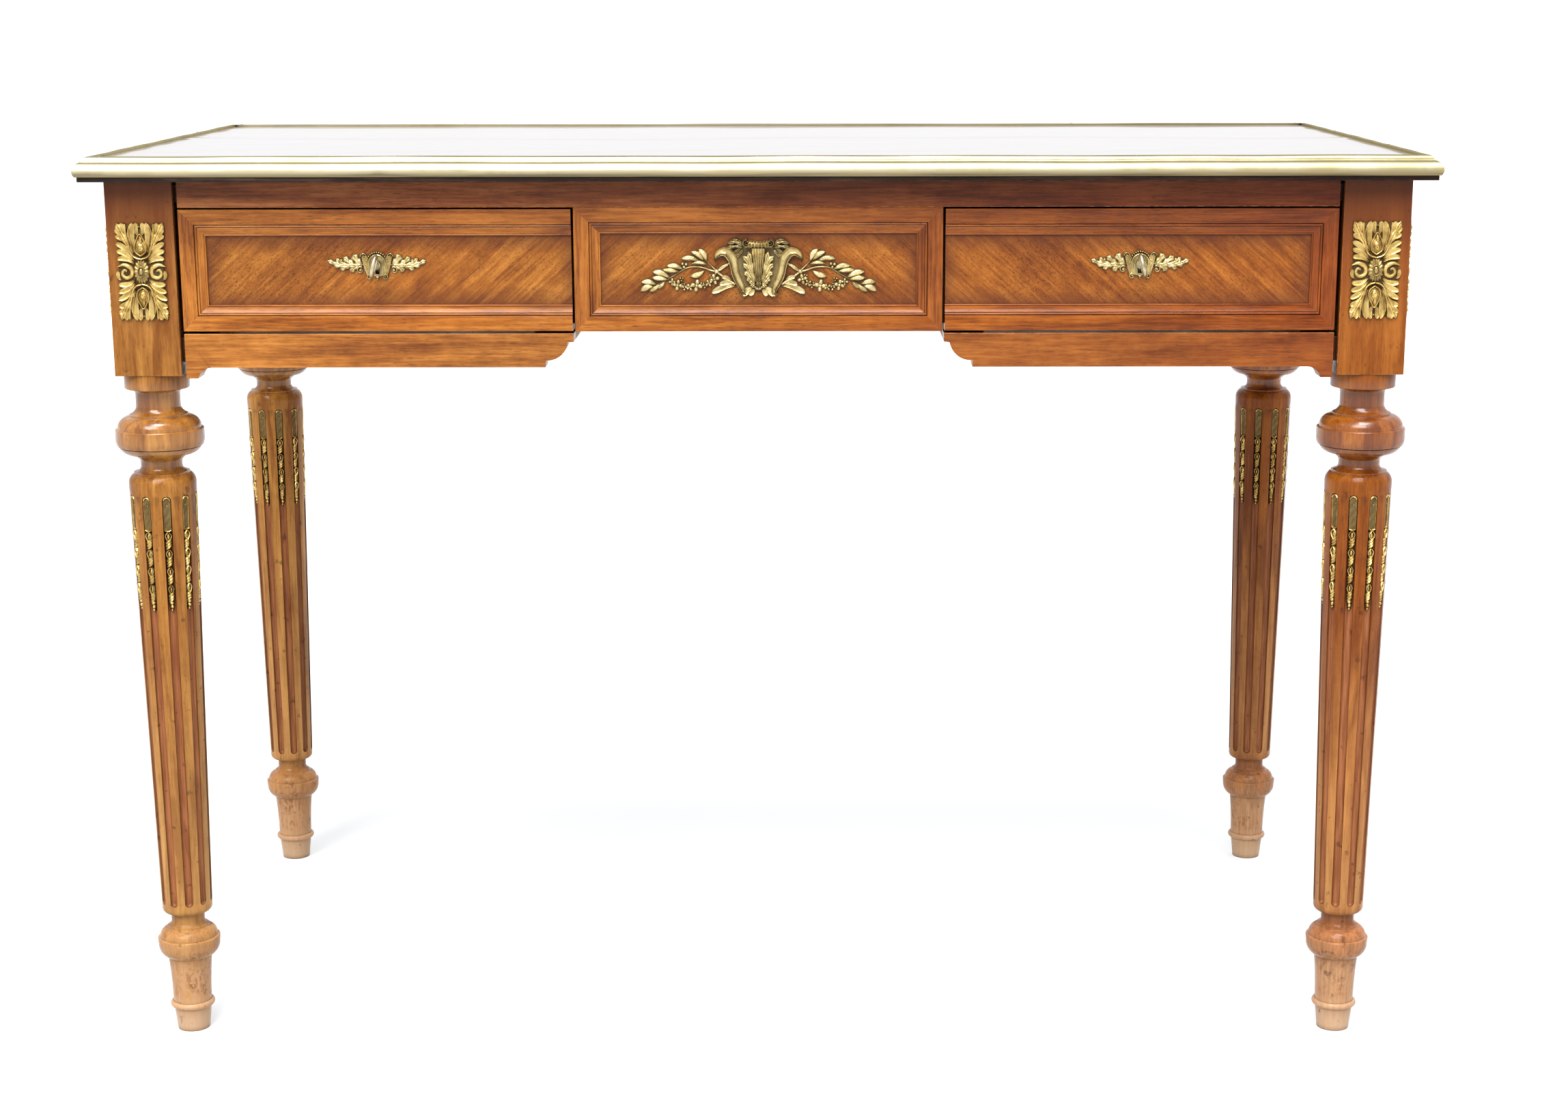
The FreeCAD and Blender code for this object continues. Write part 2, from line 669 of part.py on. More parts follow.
def carcass_inside():
    """Dividers, drawer runners, guides, kickers and stops, panel cleats and glue blocks."""
    long_y = (-face_back, face_back)
    divider_face = d.kneehole_half + d.divider_thickness
    inner_x = (divider_face, divider_face + d.inner_runner)
    outer_x = (block_inner - d.outer_runner, block_inner)
    guides, kickers, stops, cleats = [], [], [], []
    for side, sign in SIDES.items():
        divider = side_box(f"divider_{side}", sign, (d.kneehole_half, divider_face), long_y,
                           (d.divider_bottom, underside))
        node(divider.Name, divider)
        runner_z = (d.runner_top - d.runner_height, d.runner_top)
        runners = [side_box(f"runner_{side}_{place}", sign, span, long_y, runner_z)
                   for place, span in (("inner", inner_x), ("outer", outer_x))]
        node(f"runners_{side}", group(f"runners_{side}", runners))
        guide_x = (d.outer_side + d.guide_gap, block_inner)
        guides.append(side_box(f"guide_{side}", sign, guide_x, long_y,
                               (d.runner_top, d.runner_top + d.guide_height)))
        for place, span in (("inner", inner_x), ("outer", outer_x)):
            kickers.append(side_box(f"kicker_{side}_{place}", sign, span, long_y,
                                    (d.kicker_low, d.kicker_low + d.kicker_height)))
        for place, near in (("inner", d.inner_side), ("outer", d.outer_side - d.side_thickness)):
            stops.append(side_box(f"stop_{side}_{place}", sign, (near, near + d.side_thickness),
                                  (d.box_rear + d.stop_gap, face_back),
                                  (d.runner_top, d.runner_top + d.stop_height)))
        cleats.append(side_box(f"cleat_{side}", sign, (d.kneehole_half - d.cleat, d.kneehole_half),
                               (-face_back, -face_back + d.cleat),
                               (d.centre_bottom + d.cleat_rise, rail_bottom)))
    node("drawer_guides", group("drawer_guides", guides))
    node("drawer_kickers", group("drawer_kickers", kickers))
    node("drawer_stops", group("drawer_stops", stops))
    node("panel_cleats", group("panel_cleats", cleats))


def glue_blocks():
    """Three-cornered blocks that hold the top to the side friezes and the back frieze from below."""
    leg_of_block, length = 20, 70
    outline = [(0, underside), (0, underside - leg_of_block), (-leg_of_block, underside)]
    inner_side_face = block_side - d.setback - d.frieze_thickness
    spots = [(90, inner_side_face, y) for y in (-100, 100)]
    spots += [(-90, inner_side_face, y) for y in (-100, 100)]
    spots += [(180, face_back, x) for x in (-320, 320)]
    blocks = []
    for index, (turn, distance, along) in enumerate(spots, start=1):
        spin = Rotation(Vector(0, 0, 1), turn - 90)
        place = spin.multVec(vector(distance, along + length / 2, 0))
        block = doc.addObject("PartDesign::Body", f"glue_block_{index}")
        pad(block, draw(block, f"glue_block_{index}_outline", "XZ_Plane", [outline]), length)
        block.Placement = Placement(place, spin)
        blocks.append(block)
    node("glue_blocks", group("glue_blocks", blocks))


def centre_panel():
    """The fixed panel between the drawers: a veneered board under a mitred frame, tight below the rail."""
    name = "centre_panel"
    thickness = d.frieze_thickness - d.frame_thickness
    span = rectangle(-d.centre_half, d.centre_bottom, d.centre_half, rail_bottom)
    node(name, board(name, [span], thickness, Placement(vector(0, -face_back, 0), facing(0))))
    lengths = moulded_frame("centre_panel_frame", -d.centre_half, d.centre_half, d.centre_bottom, rail_bottom)
    frame_node("centre_panel_frame", lengths, 0, face)


# Drawers

def drawer_side(name, sign, near):
    """A side board with three dovetails on its front end, drawn in profile from front to rear."""
    front, low, high = -front_back, d.side_bottom, d.side_top
    tail, narrow, wide = 11, 16, 21
    pitch = (high - low) / 3
    outline = [(d.box_rear, high), (front, high)]
    for index in range(3):
        middle = high - pitch * (index + 0.5)
        outline += [(front, middle + narrow / 2), (front - tail, middle + wide / 2),
                    (front - tail, middle - wide / 2), (front, middle - narrow / 2)]
    outline += [(front, low), (d.box_rear, low)]
    low_x, _ = across(sign, near, near + d.side_thickness)
    return board(name, [outline], d.side_thickness, Placement(vector(low_x, 0, 0), facing(90)))


def keyhole(name, x, low_y, high_y):
    """A round hole with a slot below it, cut right through from front to back."""
    hole = cylinder(name + "_eye", d.keyhole_radius, high_y - low_y,
                    Placement(vector(x, high_y, d.key_height), facing(0)))
    slot = box(name + "_slot", (x - d.key_slot / 2, low_y, d.key_height - d.bit_radius - 1),
               (x + d.key_slot / 2, high_y, d.key_height))
    return fuse(name, hole, slot)


def drawer(side):
    """A dovetailed drawer: front with its moulded frame on three sides, two sides, back and loose bottom."""
    sign = SIDES[side]
    name = f"drawer_{side}"
    inner = drawer_side(f"{name}_side_inner_board", sign, d.inner_side)
    outer = drawer_side(f"{name}_side_outer_board", sign, d.outer_side - d.side_thickness)
    inside_x = (d.inner_side + d.side_thickness, d.outer_side - d.side_thickness)
    bottom_z = (d.bottom_panel_low, d.bottom_panel_low + d.bottom_panel)
    bottom = side_box(f"{name}_bottom", sign, (inside_x[0] - d.groove_depth, inside_x[1] + d.groove_depth),
                      (-front_back - d.groove_depth, d.box_rear), bottom_z)
    back_face = d.box_rear - d.back_inset
    back = side_box(f"{name}_back", sign, inside_x, (back_face - d.back_thickness, back_face),
                    (bottom_z[1], d.side_top - d.back_lower))
    board_y = (-face + d.frame_thickness, -front_back)
    slab = side_box(f"{name}_front_board", sign, (d.drawer_inner, shoulder_x), board_y,
                    (d.drawer_bottom, d.drawer_top))
    recess = side_box(f"{name}_lock_recess", sign, *lock_spans())
    hole = keyhole(f"{name}_keyhole", drawer_middle * sign, board_y[0] - 1, board_y[1] + 1)
    node(f"{name}_front", cut(f"{name}_front", slab, recess, hole, inner, outer, bottom))
    node(f"{name}_side_inner", cut(f"{name}_side_inner", inner, bottom))
    node(f"{name}_side_outer", cut(f"{name}_side_outer", outer, bottom))
    node(f"{name}_bottom", bottom)
    node(f"{name}_back", back)
    low, high = across(sign, d.drawer_inner, shoulder_x)
    open_side = "left" if sign > 0 else "right"
    lengths = moulded_frame(f"{name}_frame", low, high, d.drawer_bottom, d.drawer_top, open_side)
    frame_node(f"{name}_frame", lengths, 0, face)


# Locks and keys

def lock_spans():
    """X, Y and Z limits of a lock case, let into the back of the drawer front up to its top edge."""
    half = d.lock_width / 2
    return ((drawer_middle - half, drawer_middle + half), (-front_back - d.lock_depth, -front_back),
            (d.lock_bottom, d.drawer_top))


bolt_line = front_back + (d.lock_depth - d.bolt_thickness) / 2


def lock(side):
    """A case with its bolt slot and keyhole, and the bolt drawn back below the drawer's top edge."""
    sign = SIDES[side]
    name = f"lock_{side}"
    x_span, y_span, z_span = lock_spans()
    wall = d.lock_wall
    case = side_box(f"{name}_case_box", sign, x_span, y_span, z_span)
    hollow = side_box(f"{name}_hollow", sign, (x_span[0] + wall, x_span[1] - wall),
                      (y_span[0] + wall, y_span[1] - wall), (z_span[0] + wall, z_span[1] - wall))
    bolt_y = (-bolt_line - d.bolt_thickness, -bolt_line)
    bolt_x = (drawer_middle - d.bolt_width / 2, drawer_middle + d.bolt_width / 2)
    room = 0.3
    slot = side_box(f"{name}_bolt_slot", sign, (bolt_x[0] - room, bolt_x[1] + room),
                    (bolt_y[0] - room, bolt_y[1] + room), (z_span[1] - 2 * wall, z_span[1] + 1))
    hole = keyhole(f"{name}_keyhole", drawer_middle * sign, y_span[0] - 1, y_span[0] + wall + 1)
    node(f"{name}_case", cut(f"{name}_case", case, hollow, slot, hole))
    bolt = side_box(f"{name}_bolt", sign, bolt_x, bolt_y, (d.bolt_low, d.drawer_top - d.bolt_slack))
    node(f"{name}_bolt", bolt)


def key(side):
    """Shaft, collar and oval bow in front of the escutcheon, and a bit inside the lock case."""
    sign = SIDES[side]
    name = f"key_{side}"
    x, z = drawer_middle * sign, d.key_height
    tip = -front_back - d.lock_wall - d.tip_gap
    bow_middle = face + d.bow_reach
    shaft = cylinder(f"{name}_shaft", d.shaft_radius, bow_middle + tip - d.bow_depth / 2 + d.bow_wire,
                     Placement(vector(0, tip, 0), facing(0)))
    collar_place = vector(0, -bow_middle + d.bow_depth / 2 + d.key_collar_gap, 0)
    collar = cylinder(f"{name}_collar", d.shaft_radius + d.key_collar_rim, d.key_collar_length,
                      Placement(collar_place, facing(0)))
    bit = box(f"{name}_bit", (-d.bit_thickness / 2, tip - d.bit_length, -d.bit_radius),
              (d.bit_thickness / 2, tip, 0))
    path = doc.addObject("Part::Ellipse", f"{name}_bow_path")
    bind(path, "MajorRadius", d.bow_width / 2 - d.bow_wire)
    bind(path, "MinorRadius", d.bow_depth / 2 - d.bow_wire)
    upright = Rotation(Vector(0, 0, 1), Vector(0, 1, 0), Vector(-1, 0, 0))
    path.Placement = Placement(vector(0, -bow_middle, 0), upright)
    wire = doc.addObject("Part::Circle", f"{name}_bow_wire")
    bind(wire, "Radius", d.bow_wire)
    wire.Placement = Placement(vector(0, -bow_middle, d.bow_width / 2 - d.bow_wire), facing(0))
    bow = doc.addObject("Part::Sweep", f"{name}_bow")
    bow.Sections = [wire]
    bow.Spine = (path, ["Edge1"])
    bow.Solid = True
    whole = fuse(name, shaft, collar, bit, bow)
    whole.Placement = Placement(vector(x, 0, z), Rotation(Vector(0, 1, 0), number_of(d.key_tilt) * -sign))
    return node(name, whole)


# Gilt mounts

def dome(name, half_width, half_height, rise, place):
    """Half of a flattened ellipsoid standing on a plate."""
    boss = doc.addObject("Part::Ellipsoid", name)
    boss.Radius1, boss.Radius2, boss.Radius3 = rise, half_width, half_height
    boss.Angle1 = 0
    boss.Placement = Placement(place, Rotation())
    return boss


def plaque(name):
    """A cast plate with hollowed sides, an oval rosette in the middle and a bud above and below it."""
    half_w, half_h = d.plaque_width / 2, d.plaque_height / 2
    outline = [
        (-half_w, -half_h), (0, -half_h + 2.5, -60), (half_w, -half_h), (half_w, -8), (half_w - 3.4, 0, -9),
        (half_w, 8, -9), (half_w, half_h), (0, half_h - 2.5, -60), (-half_w, half_h), (-half_w, 8),
        (-half_w + 3.4, 0, -9), (-half_w, -8, -9),
    ]
    plate = board(name + "_plate", [outline], d.plaque_plate)
    seat = d.plaque_plate.number
    domes = [dome(name + "_rosette", 10, 13, 2.4, Vector(0, 0, seat))]
    domes += [dome(f"{name}_bud_{index}", 5, 8.5, 1.6, Vector(0, 26.5 * way, seat))
              for index, way in enumerate((-1, 1))]
    return fuse(name, plate, *domes)


def plaques(end, side):
    """The two plaques of one leg block, on its outward front or rear face and on its outward side face."""
    sign_x, sign_y = SIDES[side], ENDS[end]
    name = f"plaques_{end}_{side}"
    places = {
        "end": (leg_x * sign_x, block_face * sign_y, 0 if sign_y < 0 else 180),
        "side": (block_side * sign_x, leg_y * sign_y, 90 * sign_x),
    }
    pieces = []
    for label, (x, y, turn) in places.items():
        piece = plaque(f"{name}_{label}")
        piece.Placement = Placement(vector(x, y, d.plaque_middle), facing(turn))
        pieces.append(piece)
    return node(name, group(name, pieces))


def both_halves(right):
    """A closed outline from its right half, listed from the bottom middle up to the top middle."""
    left = [(-below[0], below[1]) + above[2:] for below, above in zip(right, right[1:])]
    return [left[0]] + right[1:] + left[:0:-1]


def escutcheon(side):
    """A cartouche round the keyhole with a leaf wing on each side."""
    name = f"escutcheon_{side}"
    x = drawer_middle * SIDES[side]
    tip = d.escutcheon_half
    right = [(0, -12.5), (7, -9, 9), (13, -8.4), (25, -7.4, 30), (tip, -2, 40), (27, 3.6, 40),
             (14, 3, -24), (9.5, 7.4), (0, 12.5, 11)]
    seat = -face + d.frame_thickness
    plate = board(name + "_plate", [both_halves(right)], d.escutcheon_thickness,
                  Placement(vector(x, seat, d.key_height), facing(0)))
    hole = keyhole(name + "_keyhole", x, seat - d.escutcheon_thickness - 1, seat + 1)
    return node(name, cut(name, plate, hole))


def centre_mount():
    """A lyre-shaped cartouche between two laurel branches."""
    name = "centre_mount"
    tip = d.mount_half
    right = [(0, -20), (9, -18.5), (14, -22), (31, -21, 30), (20, -15), (34, -13.5, -60), (62, -10, 90),
             (tip, -13, 80), (70, 1, 60), (56, 13.5, 60), (38, 2, -40), (25, -5, -30), (24, 6, -20),
             (35, 17, 16), (25, 21), (12, 18, 20), (0, 22.5, 18)]
    seat = -face + d.frame_thickness
    plate = board(name, [both_halves(right)], d.mount_thickness,
                  Placement(vector(0, seat, d.mount_middle), facing(0)))
    return node(name, plate)


# The whole desk

def build():
    for end in ENDS:
        for side in SIDES:
            leg(end, side)
            plaques(end, side)
    insert = flute_insert()
    doc.recompute()
    for end in ENDS:
        for side in SIDES:
            inserts_of_leg(end, side, insert)
    front_top_rail()
    side_distance = block_side - d.setback
    edge = 0.8
    panel_y = (-shoulder_y + edge, shoulder_y - edge)
    for side, sign in SIDES.items():
        apron(side)
        frieze(f"side_frieze_{side}", shoulder_y, 90 * sign, side_distance - d.frieze_thickness, [panel_y])
        lengths = moulded_frame(f"side_frame_{side}", *panel_y, d.drawer_bottom, d.drawer_top)
        frame_node(f"side_frame_{side}", lengths, 90 * sign, side_distance)
    panels = [(-shoulder_x + edge, -d.drawer_inner), (-d.centre_half, d.centre_half),
              (d.drawer_inner, shoulder_x - edge)]
    frieze("back_frieze", shoulder_x, 180, face_back, panels)
    lengths = []
    for index, (low, high) in enumerate(panels):
        lengths += moulded_frame(f"back_frame_{index}", low, high, d.drawer_bottom, d.drawer_top)
    frame_node("back_frames", lengths, 180, face)
    top_board()
    brass_edges()
    carcass_inside()
    glue_blocks()
    centre_panel()
    centre_mount()
    for side in SIDES:
        drawer(side)
        lock(side)
        escutcheon(side)
        key(side)
    doc.recompute()


def write_parts():
    failed = [item.Name for item in doc.Objects if {"Invalid", "Error"} & set(item.State)]
    failed += [name for name, item in nodes.items() if item.Shape.isNull() or not item.Shape.isValid()]
    if failed:
        raise RuntimeError("failed objects: " + ", ".join(failed))
    os.makedirs("parts", exist_ok=True)
    for name, item in nodes.items():
        item.Shape.exportStep(f"parts/{name}.step")
        print(f"{name}: {len(item.Shape.Solids)} solid(s), {item.Shape.Volume / 1000:.1f} cm3")


build()
write_parts()
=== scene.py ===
"""Looks of a small writing desk: polished wood, cast gilt mounts, a brass edge and a leather top."""
import json
import math

import bmesh
import bpy
import numpy as np
from mathutils import Matrix, Vector


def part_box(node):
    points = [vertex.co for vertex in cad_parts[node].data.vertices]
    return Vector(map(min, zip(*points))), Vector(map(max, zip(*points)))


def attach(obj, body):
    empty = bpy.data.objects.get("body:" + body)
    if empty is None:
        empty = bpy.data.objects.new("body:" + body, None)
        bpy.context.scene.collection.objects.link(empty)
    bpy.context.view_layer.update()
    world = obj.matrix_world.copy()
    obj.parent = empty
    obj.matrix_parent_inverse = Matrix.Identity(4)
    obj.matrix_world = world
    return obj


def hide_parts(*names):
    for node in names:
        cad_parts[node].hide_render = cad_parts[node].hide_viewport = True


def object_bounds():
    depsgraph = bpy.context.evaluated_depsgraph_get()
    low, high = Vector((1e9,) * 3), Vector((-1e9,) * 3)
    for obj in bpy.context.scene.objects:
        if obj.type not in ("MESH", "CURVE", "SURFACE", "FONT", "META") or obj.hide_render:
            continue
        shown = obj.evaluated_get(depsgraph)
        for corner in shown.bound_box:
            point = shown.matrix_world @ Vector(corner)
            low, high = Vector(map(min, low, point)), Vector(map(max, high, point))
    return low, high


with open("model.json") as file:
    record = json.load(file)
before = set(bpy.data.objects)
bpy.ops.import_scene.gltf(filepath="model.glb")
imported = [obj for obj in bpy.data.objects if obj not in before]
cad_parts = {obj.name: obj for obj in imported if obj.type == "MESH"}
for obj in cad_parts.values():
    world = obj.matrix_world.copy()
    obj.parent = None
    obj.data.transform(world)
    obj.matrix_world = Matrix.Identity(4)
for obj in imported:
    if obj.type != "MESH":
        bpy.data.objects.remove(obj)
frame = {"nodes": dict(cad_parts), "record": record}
cad_low, cad_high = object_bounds()
nodes = frame["nodes"]
slots = {part["node"]: part["material_slot"] for part in frame["record"]["subparts"]}
bodies = {node: body for body, members in frame["record"]["behaviour"]["bodies"].items() for node in members}

MM = 0.001
UP = Vector((0, 0, 1))
FRONT = Vector((0, -1, 0))
SIDES = (-1, 1)
HANDS = (("left", -1), ("right", 1))
ENDS = (("front", -1), ("rear", 1))

# The photograph's camera, in metres and degrees
CAMERA_PLACE = (0.0423, -2.4294, 0.8840)
CAMERA_YAW = -0.183
CAMERA_PITCH = 13.341
CAMERA_ROLL = -0.098
CAMERA_LENS = 60.696
CAMERA_SHIFT = (-0.01167, 0.04774)
CAMERA_SIGHT = 100.0

# Leg column, its flutes and their inserts, in millimetres
LEG_X = 502.5
LEG_Y = 239
FLUTES = 10
COLUMN_LOW = 113.5
COLUMN_HIGH = 484
COLUMN_FOOT_RADIUS = 21.4
COLUMN_TOP_RADIUS = 27.9
COLUMN_LEAN = (COLUMN_TOP_RADIUS - COLUMN_FOOT_RADIUS) / (COLUMN_HIGH - COLUMN_LOW)
FLUTE_LOW = 117
FLUTE_HIGH = 480
FLUTE_END = 0.5
INSERT_LENGTH = 99
INSERT_STRIP = 29.5

# Places of the gilt mounts, in millimetres
PLAQUE_MIDDLE = 667
BLOCK_FRONT = 266.5
BLOCK_SIDE = 530
FIELD = -258.8
MOUNT_MIDDLE = 669
DRAWER_MIDDLE = 311.7
KEY_HEIGHT = 672

# Softened edges, frames and drawer fronts, in metres
CORNERS_PER_METRE = 1e7
FLAT_ANGLE = math.radians(0.15)
EASED = 0.0005
SHORTEST_EASED_EDGE = 0.004
EASED_ANGLE = math.radians(25)
SHARP_ANGLE = math.radians(50)
FRAME_SHARP_ANGLE = math.radians(32)
RELIEF_SHARP_ANGLE = math.radians(48)
LEG_BLOCK_LOW = 0.5805
FRAME_WIDTH = 0.0215
DRAWER_INNER = 0.1512
DRAWER_SHRINKAGE = 0.0014

# Wood: tones from dark to light, painted light from the left side, what wears and soils them, and painted
# shade
OUTER_TONES = ((0.110, 0.028, 0.004), (0.220, 0.070, 0.010), (0.320, 0.116, 0.020))
FRAME_TONES = ((0.115, 0.028, 0.004), (0.235, 0.070, 0.009), (0.340, 0.116, 0.018))
# The rail's tones are darker: painted shade under the top's overhang
RAIL_SHADED_TONES = ((0.075, 0.018, 0.006), (0.145, 0.040, 0.012), (0.210, 0.070, 0.022))
LEG_TONES = ((0.125, 0.037, 0.005), (0.225, 0.084, 0.014), (0.310, 0.132, 0.026))
VENEER_TONES = ((0.105, 0.027, 0.004), (0.222, 0.071, 0.009), (0.340, 0.130, 0.022))
INNER_TONES = ((0.24, 0.135, 0.060), (0.35, 0.215, 0.105), (0.45, 0.30, 0.16))
BOARD_TONES = ((0.008, 0.005, 0.004), (0.018, 0.010, 0.007), (0.050, 0.032, 0.022))
# Painted light from the left: colour factors for the left and the right side
OUTER_PAINTED_SIDE_LIGHT = ((1.28, 1.46, 1.55), (0.66, 0.43, 0.28))
LEG_PAINTED_SIDE_LIGHT = ((1.17, 1.33, 1.52), (0.90, 0.68, 0.46))
VENEER_PAINTED_SIDE_LIGHT = ((1.14, 1.24, 1.28), (0.96, 0.80, 0.62))
REDDENING = (0.94, 0.72, 0.60)
PORE = (0.030, 0.009, 0.003)
RUBBED = (0.33, 0.15, 0.055)
RUBBED_BOARD = (0.060, 0.038, 0.026)
BARE_FOOT = (0.36, 0.20, 0.10)
BLEACHED = (0.40, 0.27, 0.17)
FLAKED = (0.16, 0.055, 0.022)
# Painted shade and darker polish near the top of a leg's block
BLOCK_SHADE_AND_POLISH = (0.150, 0.040, 0.010)
# A stain in the flutes, with painted shade
FLUTE_STAIN_AND_SHADE = ((0.150, 0.043, 0.015), (0.270, 0.096, 0.036))
WORN_FILLET = (0.400, 0.215, 0.075)
# Dark polish along field edges, and painted shade under the top's overhang
POLISH_BUILD_UP_AND_SHADE = (0.070, 0.017, 0.006)
# Dirt spots, and painted shade in corners and hollows
DIRT_AND_SHADE = (0.022, 0.007, 0.003)
BUN_SHINE = 0.5

# Metal, leather and studio colours
DULL_GILT = (0.17, 0.125, 0.06)
BRASS_TONES = ((0.62, 0.55, 0.36), (0.38, 0.32, 0.17))
BRASS_RUBS = (0.28, 0.22, 0.11)
# Painted shade on the brass edge's upward faces
BRASS_UPPER_SHADE = (0.20, 0.175, 0.105)
# Tarnish and painted shade on the brass edge's underside
BRASS_STAINS_AND_SHADE = ((0.10, 0.070, 0.033), (0.24, 0.18, 0.09))
BRASS_SOIL = (0.05, 0.033, 0.015)
BRASS_RIM = (0.92, 0.85, 0.60, 1)
LEATHER_TONES = ((0.060, 0.022, 0.011), (0.095, 0.039, 0.020), (0.145, 0.066, 0.036))
LEATHER_SCUFF = (0.26, 0.16, 0.10)
STEEL_SOIL = (0.03, 0.022, 0.015)
FLOOR_TONES = ((0.31, 0.32, 0.33), (0.34, 0.345, 0.35))
STUDIO_WHITE = (0.97, 0.985, 1.0, 1)
FLOOR_GLOW = 0.54
FLOOR_HALF = 45.0

# Turns that bring a board's grain onto the X axis of its pattern
ALONG_X = (0, 0, 0)
ALONG_Y = (0, 0, -math.pi / 2)
ALONG_Z = (0, math.pi / 2, 0)
RISING = (0, math.radians(42), 0)
FALLING = (0, math.radians(-42), 0)
AXES = (("x", ALONG_X), ("y", ALONG_Y), ("z", ALONG_Z))


class Look:
    """A procedural material, or world, with short ways to add its nodes; it holds the colour laid so far."""

    def __init__(self, name, kind=bpy.data.materials, shader="Principled BSDF"):
        self.owner = kind.new(name)
        self.owner.use_nodes = True
        self.tree = self.owner.node_tree
        self.shader = self.tree.nodes[shader]
        self.colour = None

    def feed(self, socket, value):
        if isinstance(value, bpy.types.NodeSocket):
            self.tree.links.new(value, socket)
        else:
            socket.default_value = value

    def add(self, kind, inputs, **settings):
        node = self.tree.nodes.new("ShaderNode" + kind)
        for key, value in settings.items():
            setattr(node, key, value)
        for key, value in inputs.items():
            self.feed(node.inputs[key], value)
        return node

    def place(self, kind="Object"):
        return self.add("TexCoord", {}).outputs[kind]

    def absolute(self, vector):
        return self.add("VectorMath", {0: vector}, operation="ABSOLUTE").outputs[0]

    def mapped(self, vector, turn=(0, 0, 0), scale=(1, 1, 1)):
        return self.add("Mapping", {"Vector": vector, "Rotation": turn, "Scale": scale}).outputs["Vector"]

    def noise(self, vector, scale=1.0, detail=3.0, roughness=0.5, distortion=0.0):
        inputs = {"Vector": vector, "Scale": scale, "Detail": detail, "Roughness": roughness,
                  "Distortion": distortion}
        return self.add("TexNoise", inputs).outputs["Fac"]

    def maths(self, operation, first, second=0.0, third=0.0):
        return self.add("Math", {0: first, 1: second, 2: third}, operation=operation).outputs[0]

    def times(self, first, *others):
        for other in others:
            first = self.maths("MULTIPLY", first, other)
        return first

    def added(self, value, share, base):
        """A share of a value on top of a base."""
        return self.maths("MULTIPLY_ADD", value, share, base)

    def minus(self, first, second):
        return self.maths("SUBTRACT", first, second)

    def least(self, first, second):
        return self.maths("MINIMUM", first, second)

    def span(self, value, low, high, to_low=0.0, to_high=1.0):
        inputs = {"Value": value, "From Min": low, "From Max": high, "To Min": to_low, "To Max": to_high}
        return self.add("MapRange", inputs, clamp=True).outputs[0]

    def band(self, value, start, full, waning, end):
        """1 between full and waning, and nothing before start or after end."""
        return self.times(self.span(value, start, full), self.span(value, end, waning))

    def ramp(self, value, places, tones):
        node = self.add("ValToRGB", {"Fac": value})
        elements = node.color_ramp.elements
        while len(elements) < len(tones):
            elements.new(1.0)
        for element, position, colour in zip(elements, places, tones):
            element.position = position
            element.color = (*colour, 1)
        return node.outputs["Color"]

    def mix(self, factor, first, second, blend="MIX"):
        """A mix of two colours; this kind of node takes them at its sockets 6 and 7 and gives one at 2."""
        node = self.add("Mix", {0: factor}, data_type="RGBA", blend_type=blend)
        for index, colour in ((6, first), (7, second)):
            is_socket = isinstance(colour, bpy.types.NodeSocket)
            self.feed(node.inputs[index], colour if is_socket else (*colour, 1))
        return node.outputs[2]

    def lay(self, factor, tone, blend="MIX"):
        """Lays a tone over the colour so far."""
        self.colour = self.mix(factor, self.colour, tone, blend)

    def axes(self, vector):
        parts = self.add("SeparateXYZ", {0: vector}).outputs
        return parts["X"], parts["Y"], parts["Z"]

    def attribute(self, name):
        return self.add("Attribute", {}, attribute_name=name).outputs["Fac"]

    def hollow(self, reach):
        """How closed-in a point is: 0 in the open, 1 in a deep corner."""
        node = self.add("AmbientOcclusion", {"Distance": reach}, samples=8)
        return self.minus(1.0, node.outputs["AO"])

    def bump(self, height, strength, distance, under=None):
        inputs = {"Height": height, "Strength": strength, "Distance": distance}
        if under is not None:
            inputs["Normal"] = under
        return self.add("Bump", inputs).outputs["Normal"]

    def finish(self, **sockets):
        if self.colour is not None:
            sockets["Base_Color"] = self.colour
        for name, value in sockets.items():
            self.feed(self.shader.inputs[name.replace("_", " ")], value)
        return self.owner


def column_depth(look, place):
    """How far a point lies inside the surface of a leg's column, in metres, and nothing beyond its flutes."""
    x, y, z = look.axes(look.absolute(place))
    x = look.minus(x, LEG_X * MM)
    y = look.minus(y, LEG_Y * MM)
    radius = look.maths("SQRT", look.added(x, x, look.times(y, y)))
    surface = look.added(z, COLUMN_LEAN, (COLUMN_FOOT_RADIUS - COLUMN_LEAN * COLUMN_LOW) * MM)
    fluted = (FLUTE_LOW - FLUTE_END, FLUTE_LOW, FLUTE_HIGH, FLUTE_HIGH + FLUTE_END)
    return look.times(look.minus(surface, radius), look.band(z, *(height * MM for height in fluted)))


